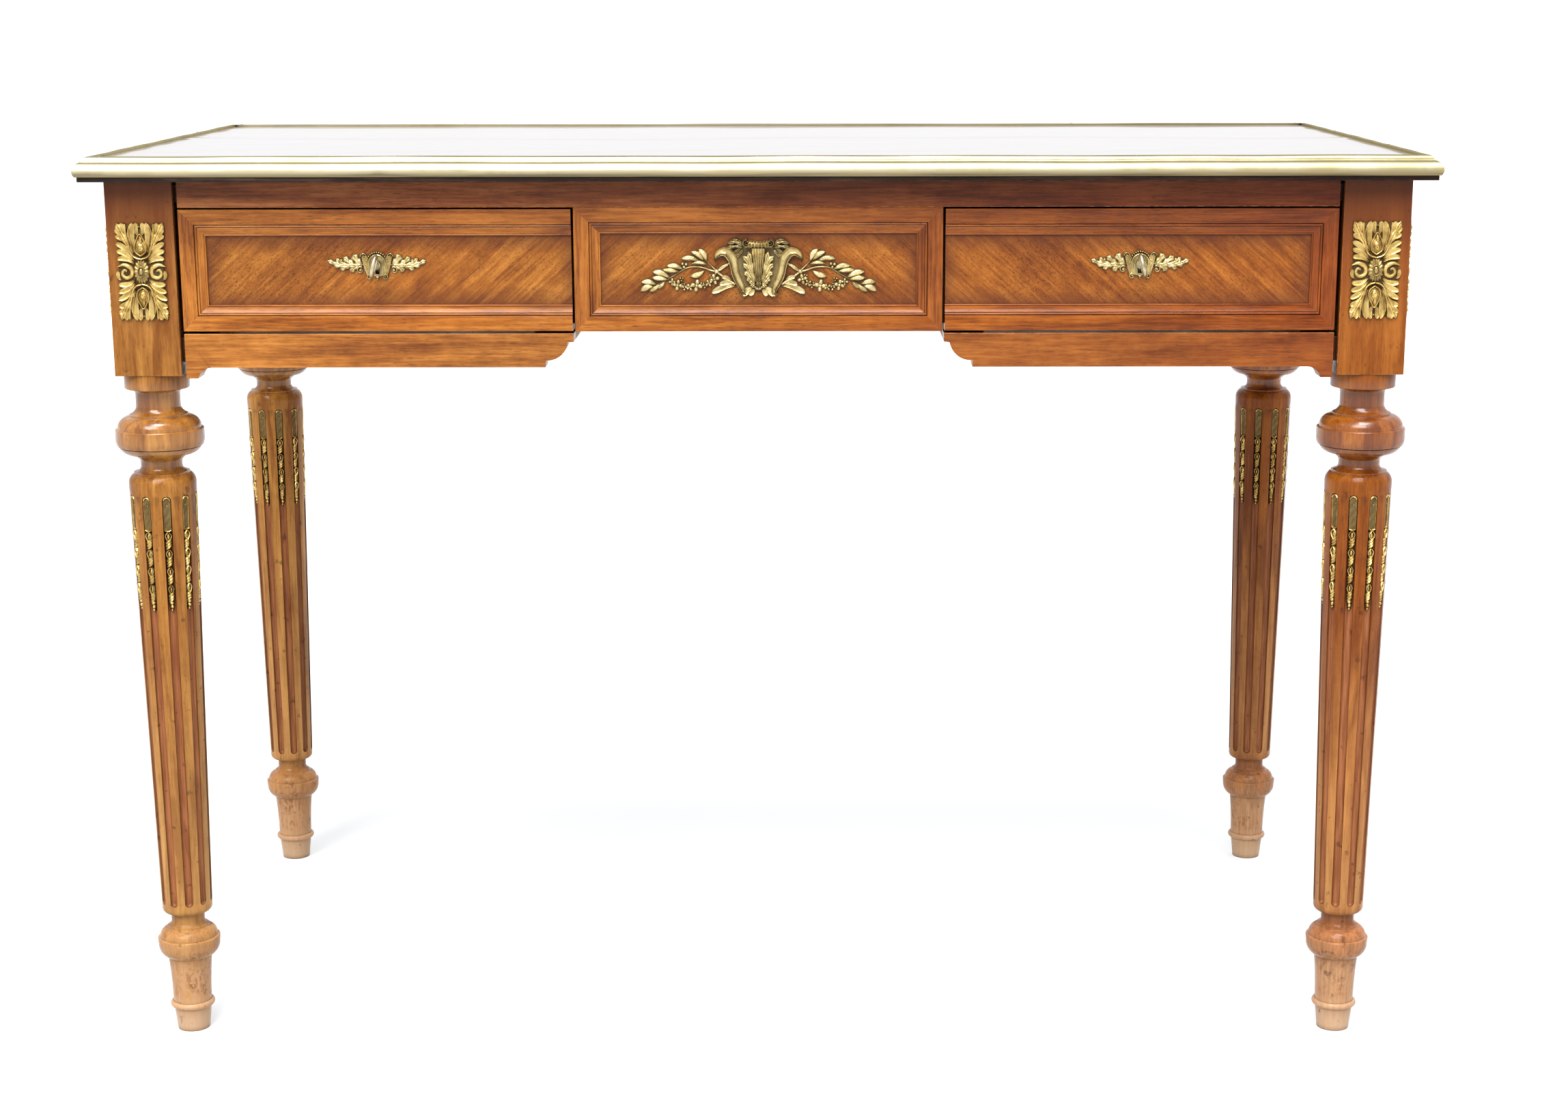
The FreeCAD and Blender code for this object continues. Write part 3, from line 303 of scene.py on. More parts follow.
def turned_wear_and_shade(look, place, height, level, streak, cloud):
    """A leg's worn fillets, stained flutes with painted shade, bare and flaking foot, painted shade and
    darker polish on the block's top, dirt spots and painted shade in cracks.
    """
    fillets = look.band(height, 0.100, 0.118, 0.13, 0.40)
    look.lay(look.times(fillets, look.span(level, 0.36, 0.62, 0.25, 0.75)), WORN_FILLET)
    depth = column_depth(look, place)
    # Inside the flutes the wood turns darker and redder: a stain, and painted shade in the hollows
    stain = look.mix(look.span(streak, 0.35, 0.65), *FLUTE_STAIN_AND_SHADE)
    look.lay(look.span(depth, 0.0004, 0.0014, 0.0, 0.92), stain)
    # Painted shade on the flute walls
    look.lay(look.times(look.band(depth, 0.0002, 0.0007, 0.0010, 0.0022), 0.6), DIRT_AND_SHADE)
    look.lay(look.times(look.span(height, 0.115, 0.055), look.span(streak, 0.3, 0.65, 0.55, 1.0)), BARE_FOOT)
    look.lay(look.span(height, 0.034, 0.010, 0.0, 0.7), BLEACHED)
    flakes = look.noise(look.mapped(place, scale=(1, 1, 0.55)), scale=330, detail=4, roughness=0.65)
    patches = look.span(look.noise(place, scale=38, detail=2), 0.42, 0.56)
    foot = look.band(height, 0.030, 0.040, 0.075, 0.085)
    look.lay(look.times(look.span(flakes, 0.49, 0.57, 0.0, 0.6), foot, patches), FLAKED)
    # Painted shade under the top's overhang, with darker polish: the block darkens towards its top
    look.lay(look.span(look.added(cloud, 0.05, height), 0.620, 0.730, 0.0, 0.6), BLOCK_SHADE_AND_POLISH)
    look.lay(look.span(look.noise(place, scale=120, detail=3), 0.64, 0.72, 0.0, 0.5), DIRT_AND_SHADE)
    # Painted shade in the leg's hollows and cracks, from how closed-in each point is
    look.lay(look.span(look.hollow(0.0022), 0.30, 0.75, 0.0, 0.75), DIRT_AND_SHADE)


def wood(name, turn, tones, book_matched=False, polish=0.28, turned=False, figure=(0.5, 0.4, 0.1),
         pores=(130, 1500, 0.45), field=None, shade_and_build_up=0.3, shine=0.2, painted_side_light=OUTER_PAINTED_SIDE_LIGHT, rubbed=RUBBED):
    """Polished wood with figure, streaks, mottling, short pores and rubbed edges; painted light from the
    left, painted shade in its corners and under the top.
    """
    look = Look(name)
    place = look.place()
    across, _, height = look.axes(place)
    grain = look.mapped(look.absolute(place) if book_matched else place, turn)
    pore_length, pore_width, pore_depth = pores
    broad = look.noise(look.mapped(grain, scale=(7, 65, 65)), detail=3, distortion=0.8)
    streak = look.noise(look.mapped(grain, scale=(24, 460, 460)), detail=3, roughness=0.6)
    specks = look.noise(look.mapped(grain, scale=(pore_length, pore_width, pore_width)), detail=1)
    mottle = look.noise(place, scale=85, detail=3, roughness=0.6)
    cloud = look.noise(place, scale=13, detail=4)
    drift = look.noise(place, scale=2.3, detail=1)
    crumbs = look.noise(place, scale=160, detail=3)
    level = look.added(streak, figure[1], look.times(broad, figure[0]))
    level = look.added(mottle, figure[2], level)
    look.colour = look.ramp(level, (0.38, 0.50, 0.61), tones)
    look.lay(look.span(cloud, 0.45, 0.75, 0.0, 0.32), tones[0])
    look.lay(look.span(drift, 0.35, 0.7, 0.0, 0.8), REDDENING, "MULTIPLY")
    # Painted light from the left: lighter and yellower to the left, darker and redder to the right
    look.lay(1.0, look.mix(look.span(across, -0.5, 0.5), *painted_side_light), "MULTIPLY")
    pore = look.times(look.span(specks, 0.57, 0.66), look.span(cloud, 0.35, 0.65, 0.35, 1.0), pore_depth)
    look.lay(pore, PORE)
    rub = look.times(look.attribute("worn"), look.span(crumbs, 0.48, 0.62, 0.1, 0.7))
    look.lay(rub, rubbed)
    if turned:
        turned_wear_and_shade(look, place, height, level, streak, cloud)
        shine = look.span(look.band(height, 0.492, 0.505, 0.570, 0.578), 0.0, 1.0, shine, BUN_SHINE)
    if field:
        (left, low), (right, high) = field
        sides = look.least(look.minus(across, left), look.minus(right, across))
        ends = look.least(look.minus(height, low), look.minus(high, height))
        inside = look.added(cloud, 0.014, look.least(sides, ends))
        look.lay(look.span(inside, 0.006, 0.022, 0.7, 0.0), POLISH_BUILD_UP_AND_SHADE)
    # Painted shade under the top's overhang, with some polish build-up: darker towards the top
    look.lay(look.span(look.added(cloud, 0.03, height), 0.695, 0.745, 0.0, shade_and_build_up), POLISH_BUILD_UP_AND_SHADE)
    # Painted shade in corners and hollows, from how closed-in each point is
    look.lay(look.span(look.hollow(0.009), 0.28, 0.80, 0.0, 0.85), DIRT_AND_SHADE)
    rough = look.added(rub, 0.12, look.span(cloud, 0.3, 0.75, polish - 0.07, polish + 0.12))
    relief = look.minus(look.times(streak, 0.3), pore)
    return look.finish(Roughness=rough, Normal=look.bump(relief, 0.25, 0.0002), Specular_IOR_Level=shine)


def gilt(name, bright, middle, deep, rough):
    """Cast metal with worn gilding: bright on raised parts, brown in the hollows."""
    look = Look(name)
    place = look.place()
    patches = look.noise(place, scale=130, detail=3)
    grit = look.noise(place, scale=1500, detail=2)
    lumps = look.noise(place, scale=420, detail=2)
    look.colour = look.mix(look.span(patches, 0.40, 0.62), bright, middle)
    look.lay(look.times(look.attribute("dull"), 0.75), DULL_GILT)
    low = look.span(look.attribute("rise"), 2.2, 0.9, 0.0, 0.96)
    closed = look.span(look.added(patches, 0.25, look.hollow(0.0035)), 0.40, 0.84)
    soil = look.maths("MAXIMUM", low, closed)
    look.lay(soil, deep)
    roughness = look.added(soil, 0.2, look.span(patches, 0.3, 0.7, rough, rough + 0.16))
    return look.finish(Metallic=look.span(soil, 0.1, 0.9, 1.0, 0.3), Roughness=roughness,
                       Normal=look.bump(lumps, 0.45, 0.0010, look.bump(grit, 0.18, 0.0003)),
                       Specular_IOR_Level=0.1)


def edge_brass():
    """Satin brass with brown tarnish in patches and in its grooves, painted shade on its upper faces, and
    tarnish with painted shade on its underside.
    """
    look = Look("edge_brass")
    place = look.place()
    facing = look.axes(look.add("NewGeometry", {}).outputs["Normal"])[2]
    patches = look.noise(place, scale=16, detail=5, roughness=0.62)
    tarnish = look.added(look.axes(place)[0], 0.32, patches)
    rubs = look.noise(look.mapped(place, scale=(9, 260, 260)), detail=3)
    look.colour = look.mix(look.span(tarnish, 0.38, 0.70), *BRASS_TONES)
    look.lay(look.span(rubs, 0.52, 0.72, 0.0, 0.45), BRASS_RUBS)
    # Painted shade on the upward faces, holding down their highlight
    look.lay(look.span(facing, 0.50, 0.85, 0.0, 0.85), BRASS_UPPER_SHADE)
    # Tarnish and painted shade on the downward faces
    under = look.span(look.added(patches, 0.7, facing), 0.40, -0.10, 0.0, 0.85)
    look.lay(under, look.mix(look.span(rubs, 0.40, 0.60), *BRASS_STAINS_AND_SHADE))
    look.lay(look.span(look.hollow(0.004), 0.28, 0.70, 0.0, 0.92), BRASS_SOIL)
    return look.finish(Metallic=1.0, Roughness=look.span(rubs, 0.3, 0.7, 0.36, 0.50), Specular_Tint=BRASS_RIM,
                       Normal=look.bump(rubs, 0.10, 0.0003))


def leather():
    """Old waxed leather with a fine pebble, rubbed patches and a high polish."""
    look = Look("leather")
    place = look.place()
    pebble = look.add("TexVoronoi", {"Vector": place, "Scale": 900.0}).outputs["Distance"]
    patches = look.noise(place, scale=16, detail=6, roughness=0.66)
    scuffs = look.noise(look.mapped(place, scale=(16, 240, 60)), detail=3)
    look.colour = look.ramp(patches, (0.28, 0.52, 0.76), LEATHER_TONES)
    look.lay(look.span(scuffs, 0.62, 0.78, 0.0, 0.25), LEATHER_SCUFF)
    grain = look.bump(scuffs, 0.06, 0.0003, look.bump(pebble, 0.08, 0.0002))
    return look.finish(Roughness=look.span(patches, 0.3, 0.7, 0.30, 0.42), Normal=grain, Coat_Weight=1.0,
                       Coat_Roughness=0.06, Sheen_Weight=0.3, Sheen_Roughness=0.25)


def steel(name, pale, dull, rough):
    """Handled metal with brown staining."""
    look = Look(name)
    place = look.place()
    stain = look.noise(place, scale=170, detail=4, roughness=0.6)
    fine = look.noise(place, scale=900, detail=2)
    look.colour = look.mix(look.span(stain, 0.38, 0.66), pale, dull)
    look.lay(look.span(look.hollow(0.003), 0.4, 0.9, 0.0, 0.7), STEEL_SOIL)
    return look.finish(Metallic=1.0, Roughness=look.span(fine, 0.3, 0.7, rough, rough + 0.18),
                       Normal=look.bump(fine, 0.12, 0.0002))


def floor_paint():
    """Smooth white studio floor with the faintest cloud, lit through from below."""
    look = Look("studio_floor")
    look.colour = look.mix(look.noise(look.place(), scale=0.9, detail=2), *FLOOR_TONES)
    return look.finish(Roughness=0.8, Specular_IOR_Level=0.0, Emission_Color=STUDIO_WHITE,
                       Emission_Strength=FLOOR_GLOW)


def veneer(node, frame_node, turn, open_side=None, book_matched=False):
    """Diagonal veneer inside a moulded frame, which leaves one side open on a drawer."""
    low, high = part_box(frame_node)
    inset = {"left": FRAME_WIDTH, "right": FRAME_WIDTH}
    if open_side:
        inset[open_side] = 0.0
    field = ((low.x + inset["left"], low.z + FRAME_WIDTH), (high.x - inset["right"], high.z - FRAME_WIDTH))
    return wood(f"veneer_{node}", turn, VENEER_TONES, book_matched, figure=(0.44, 0.34, 0.22),
                pores=(430, 1500, 0.75), field=field, shade_and_build_up=0.9, shine=0.18, painted_side_light=VENEER_PAINTED_SIDE_LIGHT)


# Materials: a board's material follows its longest side, and some boards have their own
LEG_WOOD = wood("leg_wood", ALONG_Z, LEG_TONES, polish=0.20, turned=True, figure=(0.62, 0.22, 0.10),
                pores=(110, 1500, 0.4), shade_and_build_up=0.8, shine=0.13, painted_side_light=LEG_PAINTED_SIDE_LIGHT)
FRAME_WOOD = [wood(f"frame_wood_{axis}", turn, FRAME_TONES, polish=0.20) for axis, turn in AXES]
WOODS = {
    "outer_wood": [wood(f"outer_wood_{axis}", turn, OUTER_TONES, figure=(0.46, 0.38, 0.16))
                   for axis, turn in AXES],
    "inner_wood": [wood(f"inner_wood_{axis}", turn, INNER_TONES, polish=0.55, shade_and_build_up=0.0, painted_side_light=VENEER_PAINTED_SIDE_LIGHT)
                   for axis, turn in AXES],
}
OWN_WOOD = {
    "top_board": wood("board_wood", ALONG_X, BOARD_TONES, polish=0.5, shade_and_build_up=0.0, shine=0.1,
                      rubbed=RUBBED_BOARD),
    # The rail under the top's overhang takes darker tones: painted shade
    "front_top_rail": wood("rail_wood_shaded", ALONG_X, RAIL_SHADED_TONES, shade_and_build_up=0.0, shine=0.15),
    "drawer_left_front": veneer("drawer_left_front", "drawer_left_frame", RISING, "right"),
    "drawer_right_front": veneer("drawer_right_front", "drawer_right_frame", FALLING, "left"),
    "centre_panel": veneer("centre_panel", "centre_panel_frame", FALLING, book_matched=True),
}
STEELS = {
    "lock_steel": steel("lock_steel", (0.40, 0.38, 0.35), (0.22, 0.18, 0.14), 0.42),
    "key_steel": steel("key_steel", (0.60, 0.54, 0.36), (0.36, 0.30, 0.17), 0.32),
}
GILT = gilt("gilt_bronze", (0.70, 0.56, 0.27), (0.43, 0.32, 0.13), (0.040, 0.023, 0.009), 0.30)
PLAQUE_GILT = gilt("gilt_bronze_plaques", (0.72, 0.51, 0.18), (0.45, 0.29, 0.085), (0.042, 0.021, 0.007),
                   0.32)
BRASS = edge_brass()
PIN_METAL = steel("pin_metal", (0.42, 0.34, 0.18), (0.18, 0.13, 0.07), 0.35)
LEATHER = leather()


def closed_shells(mesh):
    """Splits a node's faces into its solids: a solid ends where every edge has met its twin."""
    corners = [tuple(round(c * CORNERS_PER_METRE) for c in v.co) for v in mesh.vertices]
    unmet = set()
    run = []
    for face in mesh.polygons:
        run.append([corners[i] for i in face.vertices])
        for edge in zip(run[-1], run[-1][1:] + run[-1][:1]):
            if edge[::-1] in unmet:
                unmet.remove(edge[::-1])
            else:
                unmet.add(edge)
        if not unmet:
            yield run
            run = []
    if run:
        yield run


def solid_of(run):
    """One solid as a mesh with shared corners and whole flat faces."""
    solid = bmesh.new()
    verts = {}
    for face in run:
        for corner in face:
            if corner not in verts:
                verts[corner] = solid.verts.new([x / CORNERS_PER_METRE for x in corner])
        ring = [verts[corner] for corner in face]
        if len(set(ring)) == len(ring) and not solid.faces.get(ring):
            solid.faces.new(ring)
    bmesh.ops.dissolve_limit(solid, angle_limit=FLAT_ANGLE, verts=solid.verts, edges=solid.edges)
    return solid


def ease_edges(solid, lowest):
    """Rounds the long sharp edges above a height and marks the rounding as worn."""
    worn = solid.faces.layers.float.new("worn")
    edges = [e for e in solid.edges
             if len(e.link_faces) == 2 and e.calc_length() > SHORTEST_EASED_EDGE
             and e.calc_face_angle() > EASED_ANGLE and min(v.co.z for v in e.verts) > lowest]
    made = bmesh.ops.bevel(solid, geom=edges, offset=EASED, offset_type="OFFSET", segments=2, profile=0.5,
                           affect="EDGES", clamp_overlap=True)
    for face in made["faces"]:
        face[worn] = 1.0


def show(thing):
    bpy.context.scene.collection.objects.link(thing)


def new_piece(name, mesh, node, in_its_place=True):
    """A piece on the body of a node, and in the node's place unless it sits beside it."""
    piece = bpy.data.objects.new(name, mesh)
    show(piece)
    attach(piece, bodies[node])
    if in_its_place:
        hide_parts(node)
    return piece


def eased(node, materials, lowest=-1.0):
    """The node with softened edges; each of its solids takes the material of its longest side."""
    mesh = bpy.data.meshes.new(f"eased_{node}")
    whole = bmesh.new()
    for run in closed_shells(nodes[node].data):
        solid = solid_of(run)
        spread = np.ptp(np.array([v.co for v in solid.verts]), axis=0)
        ease_edges(solid, lowest)
        for face in solid.faces:
            face.material_index = int(np.argmax(spread)) % len(materials)
            face.smooth = True
        part = bpy.data.meshes.new("solid")
        solid.to_mesh(part)
        solid.free()
        whole.from_mesh(part)
        bpy.data.meshes.remove(part)
    whole.to_mesh(mesh)
    whole.free()
    for material in materials:
        mesh.materials.append(material)
    mesh.set_sharp_from_angle(angle=SHARP_ANGLE)
    piece = new_piece(f"eased_{node}", mesh, node)
    piece.modifiers.new("flat_faces", "WEIGHTED_NORMAL").keep_sharp = True
    return piece


for node, slot in slots.items():
    if "_frame" in node:
        continue
    if node.startswith("leg_"):
        eased(node, [LEG_WOOD], LEG_BLOCK_LOW)
    elif node in OWN_WOOD:
        board = eased(node, [OWN_WOOD[node]])
        if node.startswith("drawer_"):
            for corner in board.data.vertices:
                if abs(corner.co.x) < DRAWER_INNER + EASED:
                    corner.co.x += math.copysign(DRAWER_SHRINKAGE, corner.co.x)
    elif slot in WOODS:
        eased(node, WOODS[slot])
    elif slot in STEELS:
        nodes[node].data.materials.clear()
        nodes[node].data.materials.append(STEELS[slot])


def smooth_path(points, steps):
    """A curve through the points, cut into even steps."""
    knots = np.asarray(points, float)
    padded = np.vstack([2 * knots[0] - knots[1], knots, 2 * knots[-1] - knots[-2]])
    at = np.linspace(0, len(knots) - 1, 16 * (len(knots) - 1) + 1)
    first = np.minimum(at.astype(int), len(knots) - 2)
    f = (at - first)[:, None]
    a, b, c, d = (padded[first + k] for k in range(4))
    curve = 0.5 * (2 * b + (c - a) * f + (2 * a - 5 * b + 4 * c - d) * f**2 + (3 * b - a - 3 * c + d) * f**3)
    run = np.r_[0, np.cumsum(np.linalg.norm(np.diff(curve, axis=0), axis=1))]
    even = np.linspace(0, run[-1], steps)
    return np.stack([np.interp(even, run, curve[:, k]) for k in range(2)], axis=1)


def arc(start, end, radius, steps=8):
    """Points along an arc that bulges to the left of the line from start to end."""
    a, b = np.asarray(start, float), np.asarray(end, float)
    chord = b - a
    length = np.linalg.norm(chord)
    left = np.array([-chord[1], chord[0]]) / length
    centre = (a + b) / 2 - left * math.sqrt(radius**2 - length**2 / 4)
    angles = [math.atan2(*(p - centre)[::-1]) for p in (a, b)]
    sweep = (angles[1] - angles[0] + math.pi) % (2 * math.pi) - math.pi
    turns = angles[0] + sweep * np.linspace(0, 1, steps)
    return [tuple(centre + radius * np.array([math.cos(t), math.sin(t)])) for t in turns]


def volute(centre, outer, inner, start, turns, count=22):
    """Points of a spiral that winds in from its outer radius; angles in degrees."""
    share = np.linspace(0, 1, count)
    angle = np.radians(start) + 2 * np.pi * turns * share
    radius = outer + (inner - outer) * share
    return np.stack([centre[0] + radius * np.cos(angle), centre[1] + radius * np.sin(angle)], axis=1)


def level_rings(outlines):
    """Rings for a skin: each outline at its own height."""
    return [np.column_stack([plan, np.full(len(plan), out)]) for plan, out in outlines]


def widest(share):
    """The power that moves the middle of a swelling to a share of its length."""
    return math.log(0.5) / math.log(share)


class Relief:
    """Closed shells on a flat ground, in millimetres: across, up and out. Flip mirrors what is added next."""

    def __init__(self, ground=0.0, floor=0.0):
        self.ground = ground
        self.floor = floor
        self.flip = (1, 1)
        self.dull = 0.0
        self.points = []
        self.dulls = []
        self.faces = []

    def loft(self, rings, joined=False):
        """A skin over rings of equal count, capped at both ends or joined into a ring."""
        rings = np.asarray(rings, float)
        start = len(self.points)
        count, around = rings.shape[:2]
        self.points.extend(map(tuple, rings.reshape(-1, 3)))
        self.dulls.extend([self.dull] * (count * around))
        for i in range(count if joined else count - 1):
            a = start + i * around
            b = start + (i + 1) % count * around
            for j in range(around):
                k = (j + 1) % around
                self.faces.append((a + j, a + k, b + k, b + j))
        if not joined:
            self.faces.append(tuple(range(start + around - 1, start - 1, -1)))
            self.faces.append(tuple(range(start + (count - 1) * around, start + count * around)))

    def strip(self, path, half, rise, floor=0.0, steps=20, across=9, sweep=0.0):
        """A band along a path: half its width and its height are functions of the place on it."""
        least = 0.05
        floor += self.floor
        line = smooth_path(path, steps) * self.flip
        t = np.linspace(0, 1, steps)
        v = np.linspace(-1, 1, across)
        along = np.gradient(line, axis=0)
        along /= np.linalg.norm(along, axis=1, keepdims=True)
        side = np.stack([-along[:, 1], along[:, 0]], axis=1)
        reach = np.maximum(half(t), least)
        plan = line[:, None] + side[:, None] * (reach[:, None] * v)[:, :, None]
        plan = plan + along[:, None] * (sweep * reach[:, None] * np.abs(v) ** 1.5)[:, :, None]
        grid_t, grid_v = np.meshgrid(t, v, indexing="ij")
        self.skin(np.dstack([plan, floor + np.maximum(rise(grid_t, grid_v), least)]), floor)

    def skin(self, top, floor):
        """A solid between a grid of points and a flat floor."""
        under = top[:, [-1, 0]].copy()
        under[:, :, 2] = floor
        self.loft(np.concatenate([top, under], axis=1))

    def leaf(self, path, width, height, lobes=0, floor=0.0, tip=0.0, blunt=0.6, wide_at=0.55):
        """A leaf that lies along a path: crowned, with a sunk midrib and creases between its lobes."""
        lean = widest(wide_at)

        def notch(t):
            return np.abs(np.cos(np.pi * lobes * t)) ** 2 if lobes else 0 * t

        def half(t):
            return 0.5 * width * np.sin(np.pi * np.clip(t, 0, 1) ** lean) ** blunt * (1 - 0.30 * notch(t))

        def rise(t, v):
            crown = height * (0.55 + 0.45 * np.sin(np.pi * t ** 0.8)) * (1 - 0.55 * v**2)
            rib = (0.30 if lobes else 0.13) * height * np.exp(-((v / 0.17) ** 2))
            crease = 0.30 * height * notch(t) * np.abs(v)
            return crown - rib - crease + tip * t**3

        self.strip(path, half, rise, floor, 8 * lobes + 6 if lobes else 15, 11, sweep=0.45 if lobes else 0.0)

    def finger(self, path, width, height, floor=0.0, tip=0.5):
        """A rounded lobe of a carved leaf: a shallow spoon with raised rims and a round end."""
        lean = widest(0.66)

        def half(t):
            return 0.5 * width * np.sin(np.pi * np.clip(t, 0, 1) ** lean) ** 0.5

        def rise(t, v):
            rib = 0.30 * np.exp(-((v / 0.16) ** 2)) * (1 - t)
            spoon = height * (0.52 + 0.48 * np.abs(v) ** 1.5 + rib) * (0.70 + 0.30 * t)
            return spoon * np.sqrt(np.clip(1.04 - v**8, 0.05, 1)) + tip * t**2

        self.strip(path, half, rise, floor, 16, 13)

    def bar(self, path, width, height, floor=0.0, steps=18, taper=0.0, across=7, start=0.0):
        """A half-round bar along a path, thinner towards its end; its start may come to a point."""
        def size(t):
            return (1 - taper * t) * np.clip((t + 0.01) / max(start, 0.01), 0, 1) ** 0.6

        def half(t):
            return 0.5 * width * size(t)

        def rise(t, v):
            return height * (0.4 + 0.6 * size(t)) * (1 - taper * t) * np.sqrt(1.02 - v**2)

        self.strip(path, half, rise, floor, steps, across)

    def bead(self, centre, across, up, height, floor=0.0, around=12, turn=0.0):
        """A domed oval; only its centre is mirrored."""
        middle = np.multiply(centre, self.flip)
        angle = np.linspace(0, 2 * np.pi, around, endpoint=False)
        c, s = math.cos(turn), math.sin(turn)
        rings = []
        for lift in (-0.01, 0.0, 0.25, 0.5, 0.75, 0.93):
            quarter = max(lift, 0) * math.pi / 2
            x = 0.5 * across * math.cos(quarter) * np.cos(angle)
            y = 0.5 * up * math.cos(quarter) * np.sin(angle)
            out = self.floor + floor + (0 if lift < 0 else height * (0.15 + 0.85 * math.sin(quarter)))
            plan = (middle[0] + c * x - s * y, middle[1] + s * x + c * y)
            rings.append(np.stack([*plan, np.full(around, out)], axis=1))
        self.loft(rings)

    def ribbed_dome(self, across, up, height, ribs):
        """A domed oval with ribs that run out to a scalloped edge."""
        angle = np.linspace(0, 2 * np.pi, 8 * ribs, endpoint=False)
        wave = np.cos(ribs * angle)
        rings = []
        for share, lift in ((1.0, 0.0), (1.0, 0.30), (0.95, 0.55), (0.85, 0.74), (0.7, 0.86), (0.5, 0.95),
                            (0.3, 1.0)):
            reach = 0.5 * share * (1 + 0.05 * share * wave)
            out = self.floor + height * lift * (1 + 0.16 * share * wave)
            rings.append(np.stack([across * reach * np.cos(angle), up * reach * np.sin(angle), out], axis=1))
        self.loft(rings)

    def flower(self, centre, radius, height, petals, floor, turn):
        """Round petals about a seed; only its centre is mirrored."""
        for k in range(petals):
            angle = turn + 2 * math.pi * k / petals
            petal = 0.58 * radius * np.multiply(self.flip, (math.cos(angle), math.sin(angle)))
            self.bead(petal + centre, 1.05 * radius, 0.80 * radius, height * 0.8, floor, 10, angle)
        self.bead(centre, 0.7 * radius, 0.7 * radius, height * 1.1, floor, 10)

    def placed(self, origin, outward):
        """Its points in the row frame, in metres, with the ground at origin facing outward."""
        basis = np.array([UP.cross(outward), UP, outward])
        return np.asarray(origin, float) * MM + np.asarray(self.points) * MM @ basis


def relief_piece(name, parts, materials, node, in_its_place=True, grains=None, sharp=RELIEF_SHARP_ANGLE):
    """One piece from reliefs with their points in the row frame; grains says which material a face has."""
    points, faces, rises, dulls = [], [], [], []
    for relief, placed in parts:
        start = sum(len(p) for p in points)
        points.append(placed)
        faces.extend(tuple(start + i for i in face) for face in relief.faces)
        rises.append(np.asarray(relief.points)[:, 2] - relief.ground)
        dulls.extend(relief.dulls)
    mesh = bpy.data.meshes.new(name)
    mesh.from_pydata(np.vstack(points).tolist(), [], faces)
    shell = bmesh.new()
    shell.from_mesh(mesh)
    bmesh.ops.recalc_face_normals(shell, faces=shell.faces)
    shell.to_mesh(mesh)
    shell.free()
    mesh.attributes.new("rise", "FLOAT", "POINT").data.foreach_set("value", np.concatenate(rises))
    mesh.attributes.new("dull", "FLOAT", "POINT").data.foreach_set("value", dulls)
    mesh.shade_smooth()
    mesh.set_sharp_from_angle(angle=sharp)
    for material in materials:
        mesh.materials.append(material)
    if grains:
        mesh.polygons.foreach_set("material_index", grains)
    new_piece(name, mesh, node, in_its_place)


def frame_section():
    """A frame in millimetres, inwards and out: a flat, a bead between two quirks, a hollow and a lip."""
    flat = [(0.0, 0.0), (0.0, 3.9), (0.3, 4.2), (11.9, 4.2), (12.2, 4.05), (12.35, 3.6), (12.4, 2.8)]
    bead = arc((12.6, 2.9), (14.5, 2.9), 0.98, 9)
    hollow = [(14.6, 2.5), (14.9, 2.5), (15.0, 3.0)] + arc((20.0, 1.5), (15.2, 3.1), 16, 6)[::-1]
    lip = [(20.1, 1.3), (20.2, 1.7)] + arc((20.3, 1.8), (21.4, 1.2), 0.7, 6) + [(21.5, 0.0)]
    return np.array(flat + bead + hollow + lip) * MM


def frame_lengths(low, high, outward, absent):
    """The mitred lengths round one panel: each with its two end rings and whether it stands upright."""
    inward, out = frame_section().T
    across = UP.cross(outward)
    corner = {(x, z): (low + high) / 2 + (high - low) / 2 * np.array(x * across + z * UP - outward)
              for x in SIDES for z in SIDES}
    sides = {"bottom": ((-1, -1), (1, -1), UP), "right": ((1, -1), (1, 1), -across),
             "top": ((1, 1), (-1, 1), -UP), "left": ((-1, 1), (-1, -1), across)}
    order = list(sides)
    for index, name in enumerate(order):
        if name == absent:
            continue
        first, last, toward = sides[name]
        along = corner[last] - corner[first]
        along /= np.linalg.norm(along)
        face = np.outer(inward, toward) + np.outer(out, outward)
        rings = []
        for spot, way, beside in ((first, 1, order[index - 1]), (last, -1, order[(index + 1) % 4])):
            mitre = DRAWER_SHRINKAGE + 0 * inward if beside == absent else inward
            rings.append(corner[spot] + face + np.outer(way * mitre, along))
        yield rings, name in ("left", "right")


def moulded_frame(node, outward, absent=None, panels=1):
    """The frames of one node as polished mouldings with crisp beads and their grain along them."""
    runs = list(closed_shells(nodes[node].data))
    share = len(runs) // panels
    along_x, along_y, along_z = range(3)
    level = along_y if outward.x else along_x
    relief = Relief()
    grains = []
    for first in range(0, len(runs), share):
        spots = np.array([c for run in runs[first:first + share] for face in run for c in face])
        spots = spots / CORNERS_PER_METRE
        for rings, upright in frame_lengths(spots.min(0), spots.max(0), outward, absent):
            relief.loft(rings)
            grains.extend([along_z if upright else level] * (len(relief.faces) - len(grains)))
    relief_piece(f"moulded_{node}", [(relief, relief.points)], FRAME_WOOD, node, grains=grains,
                 sharp=FRAME_SHARP_ANGLE)


moulded_frame("centre_panel_frame", FRONT)
moulded_frame("drawer_left_frame", FRONT, "right")
moulded_frame("drawer_right_frame", FRONT, "left")
moulded_frame("side_frame_left", Vector((-1, 0, 0)))
moulded_frame("side_frame_right", Vector((1, 0, 0)))
moulded_frame("back_frames", -FRONT, panels=3)


